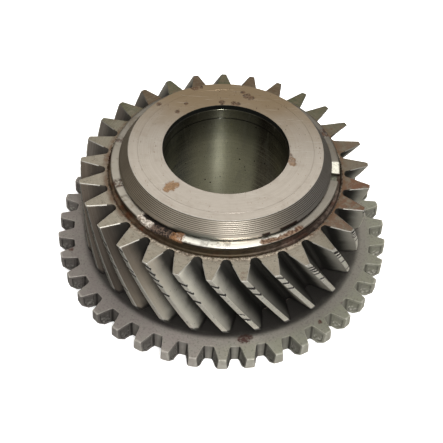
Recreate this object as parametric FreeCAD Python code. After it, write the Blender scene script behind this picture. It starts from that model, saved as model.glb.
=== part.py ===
import FreeCAD, Part
import math
import os

# Built-up gearbox gear: a left-hand helical gear with a long hub. A grooved
# friction cone and a split retaining ring sit on the upper hub journal, a wide
# ring of straight drafted dog teeth is pressed on the lower register, and a
# hardened sleeve lines the bore. All lengths in millimetres.
# Origin: on the bore axis, in the plane of the lower hub face. +Z is up the
# bore towards the cone.

# ---- overall ----
HEIGHT = 54.5                 # lower hub face to upper hub face

# ---- bore and sleeve ----
BORE_R = 25.0                 # running bore, 50 mm diameter
SLEEVE_R = 28.0               # outside of the pressed sleeve
SLEEVE_Z0 = 0.6               # lower end, just inside the hub face
SLEEVE_Z1 = HEIGHT - 7.0      # upper end, against the hub shoulder
SLEEVE_CHAMFER = 0.5
LEAD_R = 25.15                # slight lead-in at the mouth of the bore
LEAD_DEPTH = 2.2

# ---- hub journals and grooves ----
JOURNAL_R = 34.95             # seat of the friction cone
COLLAR_R = 45.2               # collar that the retaining ring lies on
COLLAR_Z = HEIGHT - 8.6
GROOVE_OUT_R = 47.6           # outside edge of the face groove
GROOVE_FLOOR_Z = HEIGHT - 12.2

# ---- helical teeth ----
TEETH = 29
TIP_R = 58.65
ROOT_R = 48.7
FACE_TOP_Z = HEIGHT - 10.9
FACE_BOTTOM_Z = HEIGHT - 44.9
TWIST_PER_MM = 0.601          # degrees of left-hand twist per mm of width
FIRST_TOOTH = 92.50           # angle of one tooth at the upper face
# half thickness of a tooth in the transverse plane at growing radius
TOOTH_PROFILE = [
    (48.7, 4.05),
    (49.5, 3.72),
    (51.5, 3.22),
    (54.0, 2.45),
    (56.5, 1.68),
    (58.3, 1.05),
]
SECTIONS = 6                  # rotated sections along the face width

# ---- lower register and hub ----
NECK_R = 47.4                 # relief neck under the helical teeth
REGISTER_R = 46.0             # seat of the straight-tooth ring
HUB_FOOT_R = 40.0             # raised thrust face at the bottom
RING_BOTTOM_Z = 1.2

# ---- straight-tooth ring ----
DOGS = 39
RING_TOP_Z = HEIGHT - 45.5
RING_RECESS_R = 58.9          # recess under the helical teeth
RING_RECESS_Z = RING_TOP_Z - 1.3
DOG_ROOT_TOP_R = 63.5
DOG_ROOT_BOTTOM_R = 64.3
DOG_TIP_TOP_R = 70.2
DOG_TIP_BOTTOM_R = 70.3
DOG_TIP_TOP_Z = RING_TOP_Z - 0.25
DOG_TIP_BOTTOM_Z = 3.4
DOG_UNDER_R = 68.0            # lower end of the bottom chamfer
FIRST_DOG = -88.0
DOG_GAP_ROOT_TOP = 3.9        # gap widths, at the root and at the tip
DOG_GAP_TIP_TOP = 8.5
DOG_GAP_ROOT_BOTTOM = 3.2
DOG_GAP_TIP_BOTTOM = 7.3

# ---- friction cone ring ----
CONE_TOP_R = 38.75
CONE_BASE_R = 42.6
CONE_BASE_Z = HEIGHT - 5.65
CONE_LIP_Z = HEIGHT - 6.6
SPIGOT_R = 41.4
CONE_GROOVES = 8
CONE_GROOVE_FIRST = 0.32       # depth of the uppermost groove below the top face
CONE_GROOVE_PITCH = 0.607
CONE_GROOVE_DEPTH = 0.28
CONE_GROOVE_WIDTH = 0.36

# ---- split retaining ring ----
SNAP_IN_R = 41.5
SNAP_OUT_R = 46.05
SNAP_TOP_Z = HEIGHT - 7.0
SNAP_GAP_ANGLE = -8.4         # middle of the gap
SNAP_GAP_WIDTH = 4.2

V = FreeCAD.Vector
AXIS = V(0, 0, 1)
ORIGIN = V(0, 0, 0)


def revolve(points):
    """Full revolution of a closed (radius, z) outline."""
    pts = [V(r, 0, z) for r, z in points]
    face = Part.Face(Part.makePolygon(pts + [pts[0]]))
    return face.revolve(ORIGIN, AXIS, 360)


def polar(r, degrees, z):
    a = math.radians(degrees)
    return V(r * math.cos(a), r * math.sin(a), z)


def toothed_wire(z):
    """Transverse outline of all helical teeth at height z."""
    turn = FIRST_TOOTH + (FACE_TOP_Z - z) * TWIST_PER_MM
    pitch = 360.0 / TEETH
    edges = []
    for k in range(TEETH):
        mid = turn + k * pitch

        def at(r, half, side):
            return polar(r, mid + side * math.degrees(half / r), z)

        rising = [at(r, h, -1) for r, h in TOOTH_PROFILE]
        falling = [at(r, h, +1) for r, h in reversed(TOOTH_PROFILE)]
        up = Part.BSplineCurve()
        up.interpolate(rising)
        down = Part.BSplineCurve()
        down.interpolate(falling)
        edges.append(up.toShape())
        edges.append(Part.Arc(rising[-1], polar(TIP_R, mid, z), falling[0]).toShape())
        edges.append(down.toShape())
        nxt = mid + pitch
        r0, h0 = TOOTH_PROFILE[0]
        start = falling[-1]
        end = polar(r0, nxt - math.degrees(h0 / r0), z)
        edges.append(Part.Arc(start, polar(ROOT_R - 0.35, mid + pitch / 2, z), end).toShape())
    return Part.Wire(edges)


def helical_gear():
    span = FACE_TOP_Z - FACE_BOTTOM_Z
    wires = [toothed_wire(FACE_BOTTOM_Z + span * i / (SECTIONS - 1)) for i in range(SECTIONS)]
    toothed = Part.makeLoft(wires, True, False)
    core = revolve([
        (20.0, 0.0),
        (HUB_FOOT_R - 0.6, 0.0),
        (HUB_FOOT_R, 0.6),
        (HUB_FOOT_R, RING_BOTTOM_Z),
        (REGISTER_R, RING_BOTTOM_Z),
        (REGISTER_R, RING_RECESS_Z),
        (NECK_R, RING_RECESS_Z),
        (NECK_R, FACE_BOTTOM_Z + 1.0),
        (30.0, FACE_BOTTOM_Z + 1.0),
        (30.0, FACE_TOP_Z - 3.0),
        (COLLAR_R, FACE_TOP_Z - 3.0),
        (COLLAR_R, COLLAR_Z),
        (JOURNAL_R, COLLAR_Z),
        (JOURNAL_R, HEIGHT),
        (20.0, HEIGHT),
    ])
    body = toothed.fuse(core)
    # face groove round the collar, running out into the gear face
    groove = revolve([
        (COLLAR_R, GROOVE_FLOOR_Z),
        (GROOVE_OUT_R - 0.7, GROOVE_FLOOR_Z),
        (GROOVE_OUT_R, FACE_TOP_Z + 0.001),
        (GROOVE_OUT_R + 0.1, FACE_TOP_Z + 2.0),
        (COLLAR_R, FACE_TOP_Z + 2.0),
    ])
    body = body.cut(groove)
    # stepped bore: sleeve seat below, running bore through the shoulder
    bore = revolve([
        (0.0, -1.0),
        (SLEEVE_R + 0.6, -1.0),
        (SLEEVE_R + 0.6, 0.0),
        (SLEEVE_R, 0.6),
        (SLEEVE_R, SLEEVE_Z1),
        (BORE_R, SLEEVE_Z1),
        (BORE_R, HEIGHT - LEAD_DEPTH),
        (LEAD_R, HEIGHT - LEAD_DEPTH),
        (LEAD_R, HEIGHT + 1.0),
        (0.0, HEIGHT + 1.0),
    ])
    return body.cut(bore)


def bore_sleeve():
    c = SLEEVE_CHAMFER
    return revolve([
        (BORE_R + c, SLEEVE_Z0),
        (SLEEVE_R - 0.2, SLEEVE_Z0),
        (SLEEVE_R, SLEEVE_Z0 + 0.4),
        (SLEEVE_R, SLEEVE_Z1),
        (BORE_R + 0.2, SLEEVE_Z1),
        (BORE_R, SLEEVE_Z1 - 0.2),
        (BORE_R, SLEEVE_Z0 + c),
    ])


def friction_cone_ring():
    slope = (CONE_BASE_R - CONE_TOP_R) / (HEIGHT - CONE_BASE_Z)
    outline = [(JOURNAL_R, COLLAR_Z), (SPIGOT_R, COLLAR_Z), (SPIGOT_R, CONE_LIP_Z),
               (CONE_BASE_R, CONE_LIP_Z), (CONE_BASE_R, CONE_BASE_Z)]
    # fine oil grooves, upwards along the cone
    for i in reversed(range(CONE_GROOVES)):
        z = HEIGHT - CONE_GROOVE_FIRST - CONE_GROOVE_PITCH * i
        r = CONE_BASE_R - slope * (z - CONE_BASE_Z)
        w = CONE_GROOVE_WIDTH / 2
        outline.append((r + slope * w, z - w))
        outline.append((r - CONE_GROOVE_DEPTH, z))
        outline.append((r - slope * w, z + w))
    outline += [(CONE_TOP_R, HEIGHT), (JOURNAL_R, HEIGHT)]
    return revolve(outline)


def split_retaining_ring():
    ring = revolve([
        (SNAP_IN_R, COLLAR_Z),
        (SNAP_OUT_R - 0.15, COLLAR_Z),
        (SNAP_OUT_R, COLLAR_Z + 0.15),
        (SNAP_OUT_R, SNAP_TOP_Z - 0.25),
        (SNAP_OUT_R - 0.25, SNAP_TOP_Z),
        (SNAP_IN_R, SNAP_TOP_Z),
    ])
    gap = Part.makeBox(12.0, SNAP_GAP_WIDTH, 4.0,
                       V(SNAP_IN_R - 4.0, -SNAP_GAP_WIDTH / 2, COLLAR_Z - 1.0))
    gap.rotate(ORIGIN, AXIS, SNAP_GAP_ANGLE)
    return ring.cut(gap)


def straight_tooth_ring():
    blank = revolve([
        (REGISTER_R, RING_BOTTOM_Z),
        (DOG_UNDER_R, RING_BOTTOM_Z),
        (DOG_TIP_BOTTOM_R, DOG_TIP_BOTTOM_Z),
        (DOG_TIP_TOP_R, DOG_TIP_TOP_Z),
        (DOG_TIP_TOP_R - 0.25, RING_TOP_Z),
        (RING_RECESS_R, RING_TOP_Z),
        (RING_RECESS_R - 0.3, RING_RECESS_Z),
        (REGISTER_R, RING_RECESS_Z),
    ])
    # one tapered gap, widest at the top and at the tip, carried past both faces
    over = 1.0
    rise = RING_TOP_Z - RING_BOTTOM_Z

    def quad(t):
        # t = 0 at the lower face, 1 at the upper face
        z = RING_BOTTOM_Z + rise * t
        r0 = DOG_ROOT_BOTTOM_R + (DOG_ROOT_TOP_R - DOG_ROOT_BOTTOM_R) * t
        w0 = DOG_GAP_ROOT_BOTTOM + (DOG_GAP_ROOT_TOP - DOG_GAP_ROOT_BOTTOM) * t
        w1 = DOG_GAP_TIP_BOTTOM + (DOG_GAP_TIP_TOP - DOG_GAP_TIP_BOTTOM) * t
        grow = (w1 - w0) / (DOG_TIP_BOTTOM_R - r0)
        r1 = DOG_TIP_BOTTOM_R + 2.0
        w1 = w1 + grow * 2.0
        pts = [V(r0, -w0 / 2, z), V(r1, -w1 / 2, z), V(r1, w1 / 2, z), V(r0, w0 / 2, z)]
        return Part.makePolygon(pts + [pts[0]])

    gap = Part.makeLoft([quad(-over / rise), quad(1 + over / rise)], True, True)
    gaps = []
    for k in range(DOGS):
        g = gap.copy()
        g.rotate(ORIGIN, AXIS, FIRST_DOG + (k + 0.5) * 360.0 / DOGS)
        gaps.append(g)
    return blank.cut(Part.makeCompound(gaps))


NODES = {
    "helical_gear": helical_gear,
    "bore_sleeve": bore_sleeve,
    "friction_cone_ring": friction_cone_ring,
    "split_retaining_ring": split_retaining_ring,
    "straight_tooth_ring": straight_tooth_ring,
}

os.makedirs("parts", exist_ok=True)
for name, make in NODES.items():
    shape = make()
    if shape.ShapeType != "Solid" and len(shape.Solids) == 1:
        shape = shape.Solids[0]
    print(name, "solids", len(shape.Solids), "valid", shape.isValid(),
          "volume %.1f" % shape.Volume, "box %.2f %.2f %.2f" % (
              shape.BoundBox.XLength, shape.BoundBox.YLength, shape.BoundBox.ZLength))
    shape.exportStep("parts/%s.step" % name)
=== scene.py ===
import math
import bpy
import numpy as np
from mathutils import Matrix, Vector


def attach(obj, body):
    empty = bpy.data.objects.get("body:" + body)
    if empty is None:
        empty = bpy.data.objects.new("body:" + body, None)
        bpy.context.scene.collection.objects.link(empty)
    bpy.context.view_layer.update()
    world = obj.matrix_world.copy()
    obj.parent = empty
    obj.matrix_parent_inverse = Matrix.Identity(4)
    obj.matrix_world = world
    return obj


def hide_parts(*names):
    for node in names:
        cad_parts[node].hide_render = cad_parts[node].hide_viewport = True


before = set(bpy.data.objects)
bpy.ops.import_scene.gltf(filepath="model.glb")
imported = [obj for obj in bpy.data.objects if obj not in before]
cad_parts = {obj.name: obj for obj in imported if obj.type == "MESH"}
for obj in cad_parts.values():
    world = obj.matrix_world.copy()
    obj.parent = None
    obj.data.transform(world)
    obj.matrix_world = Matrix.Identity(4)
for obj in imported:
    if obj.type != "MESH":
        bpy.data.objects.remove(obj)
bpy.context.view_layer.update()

MM = 0.001

# ------------------------------------------------------------------ sizes, mm
HEIGHT = 54.5
BORE_R, SLEEVE_R = 25.0, 28.0
SLEEVE_Z0, SLEEVE_Z1 = 0.6, HEIGHT - 7.0
LEAD_R, LEAD_Z = 25.15, HEIGHT - 2.2      # short lead-in at the mouth of the bore
JOURNAL_R = 34.95
COLLAR_R, COLLAR_Z = 45.2, HEIGHT - 8.6
GROOVE_R, GROOVE_Z = 47.6, HEIGHT - 12.2
TEETH, TIP_R = 29, 58.65
TOP_Z, BOTTOM_Z = HEIGHT - 10.9, HEIGHT - 44.9
TWIST = 0.601
FIRST_TOOTH = 92.50
NECK_R, REGISTER_R, FOOT_R, RING_Z0 = 47.4, 46.0, 40.0, 1.2
DOGS, FIRST_DOG = 39, -88.0
RING_Z1 = HEIGHT - 45.5
RECESS_R, RECESS_Z = 58.9, RING_Z1 - 1.3
CONE_TOP_R, CONE_BASE_R, CONE_BASE_Z, CONE_LIP_Z = 38.75, 42.6, HEIGHT - 5.65, HEIGHT - 6.6
SPIGOT_R = 41.4
SNAP_IN, SNAP_OUT, SNAP_Z = 41.5, 46.05, HEIGHT - 7.0
SNAP_ANGLE, SNAP_GAP = -8.4, 4.2

rng = np.random.default_rng(870)


# ------------------------------------------------------------------ mesh tools
def build(name, verts, quads, mats, mat_index=None, tris=None, sharp=32.0, tri_mat=0):
    verts = np.asarray(verts, np.float32) * MM
    quads = np.asarray(quads, np.int32).reshape(-1, 4)
    loops = [quads.ravel()]
    starts = [np.arange(len(quads)) * 4]
    totals = [np.full(len(quads), 4)]
    index = [np.zeros(len(quads), np.int32) if mat_index is None else np.asarray(mat_index, np.int32)]
    if tris is not None and len(tris):
        tris = np.asarray(tris, np.int32)
        loops.append(tris.ravel())
        starts.append(len(quads) * 4 + np.arange(len(tris)) * 3)
        totals.append(np.full(len(tris), 3))
        index.append(np.full(len(tris), tri_mat, np.int32))
    loops, starts, totals, index = map(np.concatenate, (loops, starts, totals, index))
    me = bpy.data.meshes.new(name)
    me.vertices.add(len(verts))
    me.vertices.foreach_set("co", verts.ravel())
    me.loops.add(len(loops))
    me.loops.foreach_set("vertex_index", loops.astype(np.int32))
    me.polygons.add(len(starts))
    me.polygons.foreach_set("loop_start", starts.astype(np.int32))
    me.polygons.foreach_set("loop_total", totals.astype(np.int32))
    me.polygons.foreach_set("material_index", index.astype(np.int32))
    me.polygons.foreach_set("use_smooth", np.ones(len(starts), bool))
    me.update(calc_edges=True)
    for m in mats:
        me.materials.append(m)
    me.set_sharp_from_angle(angle=math.radians(sharp))
    ob = bpy.data.objects.new(name, me)
    bpy.context.scene.collection.objects.link(ob)
    return ob


def torus_quads(nv, nu):
    """Quads of a grid closed both ways: rows v, columns u."""
    v = np.arange(nv)[:, None]
    u = np.arange(nu)[None, :]
    v1, u1 = (v + 1) % nv, (u + 1) % nu
    return np.stack([v * nu + u, v * nu + u1, v1 * nu + u1, v1 * nu + u], -1).reshape(-1, 4)


def polar_rows(rows):
    """rows: list of (theta[nu] radians, r[nu], z[nu]) -> vertices."""
    out = []
    for th, r, z in rows:
        th = np.asarray(th, float)
        r = np.broadcast_to(np.asarray(r, float), th.shape)
        z = np.broadcast_to(np.asarray(z, float), th.shape)
        out.append(np.stack([r * np.cos(th), r * np.sin(th), z], -1))
    return np.concatenate(out)


def hermite(xs, ys, x):
    """Smooth monotone interpolation through a few points."""
    xs, ys = np.asarray(xs, float), np.asarray(ys, float)
    h = np.diff(xs)
    d = np.diff(ys) / h
    m = np.empty_like(xs)
    m[0], m[-1] = d[0], d[-1]
    for i in range(1, len(xs) - 1):
        if d[i - 1] * d[i] <= 0:
            m[i] = 0
        else:
            w1, w2 = 2 * h[i] + h[i - 1], h[i] + 2 * h[i - 1]
            m[i] = (w1 + w2) / (w1 / d[i - 1] + w2 / d[i])
    x = np.clip(x, xs[0], xs[-1])
    i = np.clip(np.searchsorted(xs, x) - 1, 0, len(h) - 1)
    t = (x - xs[i]) / h[i]
    return ((2 * t**3 - 3 * t**2 + 1) * ys[i] + (t**3 - 2 * t**2 + t) * h[i] * m[i]
            + (-2 * t**3 + 3 * t**2) * ys[i + 1] + (t**3 - t**2) * h[i] * m[i + 1])


def wobble(theta, z, seed, waves, amp):
    """Deterministic soft irregularity round the axis."""
    g = np.random.default_rng(seed)
    out = 0
    for n in waves:
        a, b, c = g.uniform(0, 2 * np.pi, 3)
        out = out + np.sin(n * theta + a + z * g.uniform(-0.3, 0.3)) * g.uniform(0.5, 1.0)
    return out * amp / math.sqrt(len(waves))


# ------------------------------------------------------------------ materials
class Nodes:
    def __init__(self, name):
        self.mat = bpy.data.materials.new(name)
        self.mat.use_nodes = True
        self.t = self.mat.node_tree
        self.t.nodes.clear()
        self.out = self.t.nodes.new("ShaderNodeOutputMaterial")
        self.bsdf = self.t.nodes.new("ShaderNodeBsdfPrincipled")
        self.t.links.new(self.bsdf.outputs[0], self.out.inputs[0])
        self._p = None

    def link(self, value, socket):
        if hasattr(value, "default_value") or hasattr(value, "links"):
            self.t.links.new(value, socket)
        else:
            if hasattr(socket.default_value, "__len__") and not hasattr(value, "__len__"):
                value = (value,) * len(socket.default_value)
            if hasattr(socket.default_value, "__len__") and len(socket.default_value) == 4 and len(value) == 3:
                value = (*value, 1.0)
            socket.default_value = value

    def node(self, kind, props=None, **ins):
        n = self.t.nodes.new("ShaderNode" + kind)
        for k, v in (props or {}).items():
            setattr(n, k, v)
        for k, v in ins.items():
            key = int(k[1:]) if k[0] == "i" and k[1:].isdigit() else k.replace("_", " ")
            self.link(v, n.inputs[key])
        return n

    def m(self, op, a, b=0.0, c=0.0, clamp=False):
        return self.node("Math", {"operation": op, "use_clamp": clamp}, i0=a, i1=b, i2=c).outputs[0]

    def position(self):
        """x, y, z, radius and angle, in millimetres and radians."""
        if self._p is None:
            tc = self.node("TexCoord")
            scaled = self.node("VectorMath", {"operation": "SCALE"}, i0=tc.outputs["Object"])
            scaled.inputs[3].default_value = 1000.0
            sep = self.node("SeparateXYZ", i0=scaled.outputs[0])
            x, y, z = sep.outputs
            r = self.m("SQRT", self.m("ADD", self.m("MULTIPLY", x, x), self.m("MULTIPLY", y, y)))
            a = self.m("ARCTAN2", y, x)
            self._p = (scaled.outputs[0], x, y, z, r, a)
        return self._p

    def vec(self, x, y, z):
        return self.node("CombineXYZ", i0=x, i1=y, i2=z).outputs[0]

    def noise(self, vec, scale=1.0, detail=3.0, rough=0.5, dist=0.0):
        n = self.node("TexNoise", None, Vector=vec, Scale=scale, Detail=detail, Roughness=rough, Distortion=dist)
        return n.outputs["Fac"]

    def cells(self, vec, scale=1.0, rand=1.0):
        n = self.node("TexVoronoi", {"feature": "F1"}, Vector=vec, Scale=scale, Randomness=rand)
        return n.outputs["Distance"]

    def band(self, value, lo, hi, out_lo=0.0, out_hi=1.0, smooth=True):
        n = self.node("MapRange", {"interpolation_type": "SMOOTHSTEP" if smooth else "LINEAR", "clamp": True})
        self.link(value, n.inputs[0])
        for i, v in zip((1, 2, 3, 4), (lo, hi, out_lo, out_hi)):
            self.link(v, n.inputs[i])
        return n.outputs[0]

    def steps(self, value, points):
        """Straight lines through (x, y) points, level beyond both ends."""
        out = points[0][1]
        for (x0, y0), (x1, y1) in zip(points, points[1:]):
            out = self.m("ADD", out, self.band(value, x0, x1, 0.0, y1 - y0, smooth=False))
        return out

    def dim(self, colour, factor):
        v = self.node("VectorMath", {"operation": "SCALE"}, i0=colour)
        self.link(factor, v.inputs[3])
        return v.outputs[0]

    def across_tooth(self):
        """Distance from the middle of the nearest helical tooth at the tip circle, mm, + counter-clockwise; and the angle."""
        p, x, y, z, r, a = self.position()
        deg = self.m("MULTIPLY", a, 57.2958)
        turned = self.m("ADD", deg, self.m("MULTIPLY", self.m("SUBTRACT", z, TOP_Z), TWIST))
        f = self.m("FRACT", self.m("ADD", self.m("MULTIPLY", self.m("SUBTRACT", turned, FIRST_TOOTH), TEETH / 360.0), 100.5))
        return self.m("MULTIPLY", self.m("SUBTRACT", f, 0.5), 2 * math.pi * TIP_R / TEETH), deg

    def mix(self, fac, a, b):
        n = self.t.nodes.new("ShaderNodeMix")
        n.data_type = "RGBA"
        n.clamp_factor = True
        self.link(fac, n.inputs[0])
        self.link(a, n.inputs[6])
        self.link(b, n.inputs[7])
        return n.outputs[2]

    def mixf(self, fac, a, b):
        n = self.t.nodes.new("ShaderNodeMix")
        n.data_type = "FLOAT"
        n.clamp_factor = True
        self.link(fac, n.inputs[0])
        self.link(a, n.inputs[2])
        self.link(b, n.inputs[3])
        return n.outputs[0]

    def cyl(self, fr, fa, fz, radius=40.0):
        """Coordinates stretched along radius, round the axis and along z (cycles per mm)."""
        p, x, y, z, r, a = self.position()
        ca, sa = self.m("COSINE", a), self.m("SINE", a)
        k = radius * fa
        return self.vec(self.m("ADD", self.m("MULTIPLY", ca, k), self.m("MULTIPLY", r, fr)),
                        self.m("ADD", self.m("MULTIPLY", sa, k), self.m("MULTIPLY", r, -0.37 * fr)),
                        self.m("ADD", self.m("MULTIPLY", z, fz), self.m("MULTIPLY", r, 0.61 * fr)))

    def spot(self, centre, radius, soft, warp=None, amount=0.0, z=None):
        """Mask of a blot round a point of the surface, its edge broken by noise."""
        p = self.position()[0]
        d = self.node("VectorMath", {"operation": "DISTANCE"}, i0=p, i1=centre).outputs["Value"]
        if warp is not None:
            d = self.m("ADD", d, self.m("MULTIPLY", self.m("SUBTRACT", warp, 0.5), amount))
        return self.band(d, radius - soft, radius + soft, 1.0, 0.0)

    def bump(self, height, distance, strength=1.0, normal=None):
        n = self.node("Bump", None, Strength=strength, Distance=distance * MM, Height=height)
        if normal is not None:
            self.t.links.new(normal, n.inputs["Normal"])
        return n.outputs[0]

    def finish(self, color, metallic, rough, normal=None, aniso=0.0, tangent=False, spec=0.5):
        b = self.bsdf
        self.link(color, b.inputs["Base Color"])
        self.link(metallic, b.inputs["Metallic"])
        self.link(rough, b.inputs["Roughness"])
        b.inputs["Specular IOR Level"].default_value = spec
        b.inputs["Anisotropic"].default_value = aniso
        if tangent:
            t = self.node("Tangent", {"direction_type": "RADIAL", "axis": "Z"})
            self.t.links.new(t.outputs[0], b.inputs["Tangent"])
            b.inputs["Anisotropic Rotation"].default_value = 0.25
        if normal is not None:
            self.t.links.new(normal, b.inputs["Normal"])
        return self.mat


def any_of(n, masks):
    out = masks[0]
    for m in masks[1:]:
        out = n.m("MAXIMUM", out, m)
    return out


RUST = (0.100, 0.040, 0.016)
RUST_DARK = (0.030, 0.014, 0.008)


def front_share(n, lo=18.0, hi=44.0):
    """How far a point lies towards the front of the hub (-Y), 0 to 1."""
    p, x, y, z, r, a = n.position()
    return n.band(n.m("MULTIPLY", y, -1.0), lo, hi)


def turned_face():
    """Top face: fine-turned steel, warm, with pits, small rust blots and scratches."""
    n = Nodes("turned_face")
    p, x, y, z, r, a = n.position()
    lines = n.noise(n.vec(n.m("MULTIPLY", r, 3.2), n.m("MULTIPLY", x, 0.03), n.m("MULTIPLY", y, 0.03)), 1.0, 4.0, 0.6)
    broad = n.noise(p, 0.045, 3.0, 0.55)
    cloud = n.noise(p, 0.30, 5.0, 0.62)
    mottle = n.noise(p, 1.1, 4.0, 0.65)
    fine = n.noise(p, 3.2, 3.0, 0.6)
    warp = n.noise(p, 0.9, 4.0, 0.65)
    base = n.mix(n.band(lines, 0.35, 0.65), (0.435, 0.395, 0.35), (0.475, 0.435, 0.39))
    base = n.mix(n.m("MULTIPLY", n.band(cloud, 0.48, 0.72), 0.30), base, (0.36, 0.31, 0.26))
    base = n.mix(n.m("MULTIPLY", n.band(mottle, 0.58, 0.75), 0.22), base, (0.30, 0.25, 0.20))
    # painted reflection: straw-brown tint towards the far side, standing in for a darker surround mirrored there
    tan = n.band(n.m("ADD", y, n.m("MULTIPLY", n.m("SUBTRACT", broad, 0.5), 22.0)), 0.0, 30.0)
    base = n.mix(n.m("MULTIPLY", tan, 0.85), base, (0.285, 0.205, 0.115))
    # painted light: the face is lighter towards the front
    base = n.dim(base, n.mixf(front_share(n, -22.0, 18.0), 0.81, 0.96))
    blots = [n.spot((cx, cy, HEIGHT), rad, 0.35, warp, rad * 1.6) for cx, cy, rad in SPOTS]
    blot = any_of(n, blots)
    inner = n.band(n.noise(p, 1.6, 4.0, 0.7), 0.38, 0.62, 0.35, 1.0)
    speck = n.m("MULTIPLY", n.band(n.cells(p, 0.62), 0.07, 0.14, 1.0, 0.0), n.band(n.noise(p, 0.13, 2.0, 0.5), 0.48, 0.60))
    dash = n.node("Mapping", None, Vector=p, Rotation=(0, 0, 0.15), Scale=(2.6, 0.55, 1.0)).outputs[0]
    dashes = n.m("MULTIPLY", n.band(n.noise(dash, 1.0, 1.0, 0.4), 0.68, 0.74), n.band(n.noise(p, 0.11, 2.0, 0.5), 0.50, 0.60))
    dirt = n.m("MAXIMUM", n.m("MULTIPLY", blot, inner), n.m("MULTIPLY", n.m("MAXIMUM", speck, dashes), 0.75))
    near = n.band(y, 5.0, -12.0)
    rust = n.mix(near, RUST, (0.300, 0.185, 0.095))
    rust_dark = n.mix(near, RUST_DARK, (0.170, 0.090, 0.042))
    dirt = n.m("MAXIMUM", dirt, n.m("MULTIPLY", n.m("MULTIPLY", blot, near), 0.95))
    col = n.mix(dirt, base, n.mix(n.band(fine, 0.35, 0.65), rust_dark, rust))
    curl = n.band(n.m("ABSOLUTE", n.m("SUBTRACT", n.noise(p, 0.85, 2.0, 0.5), 0.5)), 0.015, 0.050, 1.0, 0.0)
    col = n.mix(n.m("MULTIPLY", n.m("MULTIPLY", blot, curl), n.mixf(near, 0.9, 0.25)), col, (0.012, 0.007, 0.005))
    scratch = n.band(n.noise(n.node("Mapping", None, Vector=p, Rotation=(0, 0, 0.9), Scale=(0.12, 3.0, 1.0)).outputs[0], 1.0, 2.0, 0.5), 0.67, 0.73)
    scratch2 = n.band(n.noise(n.node("Mapping", None, Vector=p, Rotation=(0, 0, -0.5), Scale=(0.10, 3.6, 1.0)).outputs[0], 1.0, 2.0, 0.5), 0.68, 0.74)
    col = n.mix(n.m("MULTIPLY", n.m("MAXIMUM", scratch, scratch2), 0.30), col, (0.66, 0.64, 0.60))
    rough = n.m("ADD", n.mixf(dirt, 0.33, 0.78), n.m("MULTIPLY", cloud, 0.10))
    nrm = n.bump(lines, 0.006, 0.6)
    nrm = n.bump(n.m("MULTIPLY", dirt, fine), 0.12, 0.7, nrm)
    nrm = n.bump(mottle, 0.010, 0.5, nrm)
    return n.finish(col, n.mixf(dirt, 1.0, 0.15), rough, nrm, aniso=0.35, tangent=True)


def tooth_face():
    """End faces of the helical teeth: machined, warm grey, stained; brown at the right, olive behind."""
    n = Nodes("tooth_face")
    p, x, y, z, r, a = n.position()
    cloud = n.noise(p, 0.16, 4.0, 0.6)
    stain = n.noise(p, 0.42, 5.0, 0.62)
    fine = n.noise(p, 3.0, 3.0, 0.6)
    speckle = n.noise(p, 1.4, 4.0, 0.75)
    lines = n.noise(n.cyl(2.4, 0.03, 0.0), 1.0, 3.0, 0.6)
    base = n.mix(cloud, (0.225, 0.205, 0.165), (0.37, 0.335, 0.275))
    olive = n.band(n.m("ADD", y, n.m("MULTIPLY", n.m("SUBTRACT", cloud, 0.5), 40.0)), 0.0, 40.0)
    tint = n.node("Attribute", {"attribute_name": "tint"}).outputs["Fac"]
    back = n.mix(tint, (0.082, 0.090, 0.050), (0.118, 0.076, 0.046))
    back = n.mix(n.m("MULTIPLY", n.band(stain, 0.45, 0.62), 0.6), back, (0.150, 0.130, 0.085))
    base = n.mix(n.m("MULTIPLY", olive, 0.92), base, back)
    base = n.mix(n.m("MULTIPLY", n.band(lines, 0.45, 0.6), n.mixf(olive, 0.25, 0.10)), base, (0.42, 0.39, 0.33))
    base = n.mix(n.m("MULTIPLY", n.band(x, 30.0, 46.0), 0.65), base, (0.135, 0.128, 0.092))
    base = n.mix(n.m("MULTIPLY", n.band(speckle, 0.55, 0.72), 0.55), base, (0.13, 0.105, 0.075))
    # reddish stain on the right-hand teeth, brown near the hub
    right = n.m("MULTIPLY", n.band(x, 22.0, 44.0), n.band(n.m("ABSOLUTE", n.m("ADD", y, 6.0)), 34.0, 20.0))
    red = n.m("MULTIPLY", n.m("MULTIPLY", n.band(stain, 0.36, 0.56, 0.25, 0.95), right), n.mixf(tint, 0.15, 1.0))
    red = n.m("MAXIMUM", red, n.m("MULTIPLY", n.band(stain, 0.56, 0.72), 0.55))
    inner = n.m("MULTIPLY", n.band(r, 50.4, 47.6), n.band(stain, 0.32, 0.58, 0.3, 0.9))
    col = n.mix(red, base, n.mix(n.band(x, 15.0, 35.0), (0.175, 0.088, 0.050), (0.135, 0.064, 0.036)))
    col = n.mix(inner, col, (0.130, 0.075, 0.040))
    # bare metal wear by the groove lip, painted bright towards the front only as a highlight
    front = front_share(n, 26.0, 46.0)
    wear_and_painted_glint = n.m("MULTIPLY", n.m("MULTIPLY", n.band(r, 49.6, 48.2), n.band(n.noise(p, 0.9, 4.0, 0.75), 0.42, 0.58)), front)
    col = n.mix(wear_and_painted_glint, col, (0.85, 0.76, 0.62))
    crack = n.band(n.m("ABSOLUTE", n.m("SUBTRACT", n.noise(p, 0.30, 3.0, 0.5), 0.5)), 0.0, 0.012, 1.0, 0.0)
    col = n.mix(n.m("MULTIPLY", crack, 0.55), col, (0.07, 0.055, 0.045))
    dull = n.m("MULTIPLY", n.m("MAXIMUM", red, inner), n.m("SUBTRACT", 1.0, wear_and_painted_glint))
    rough = n.m("ADD", n.mixf(dull, 0.44, 0.75), n.m("MULTIPLY", fine, 0.10))
    nrm = n.bump(fine, 0.02, 0.5)
    nrm = n.bump(speckle, 0.05, 0.5, nrm)
    return n.finish(col, n.mixf(dull, 0.9, 0.35), rough, nrm)


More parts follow.
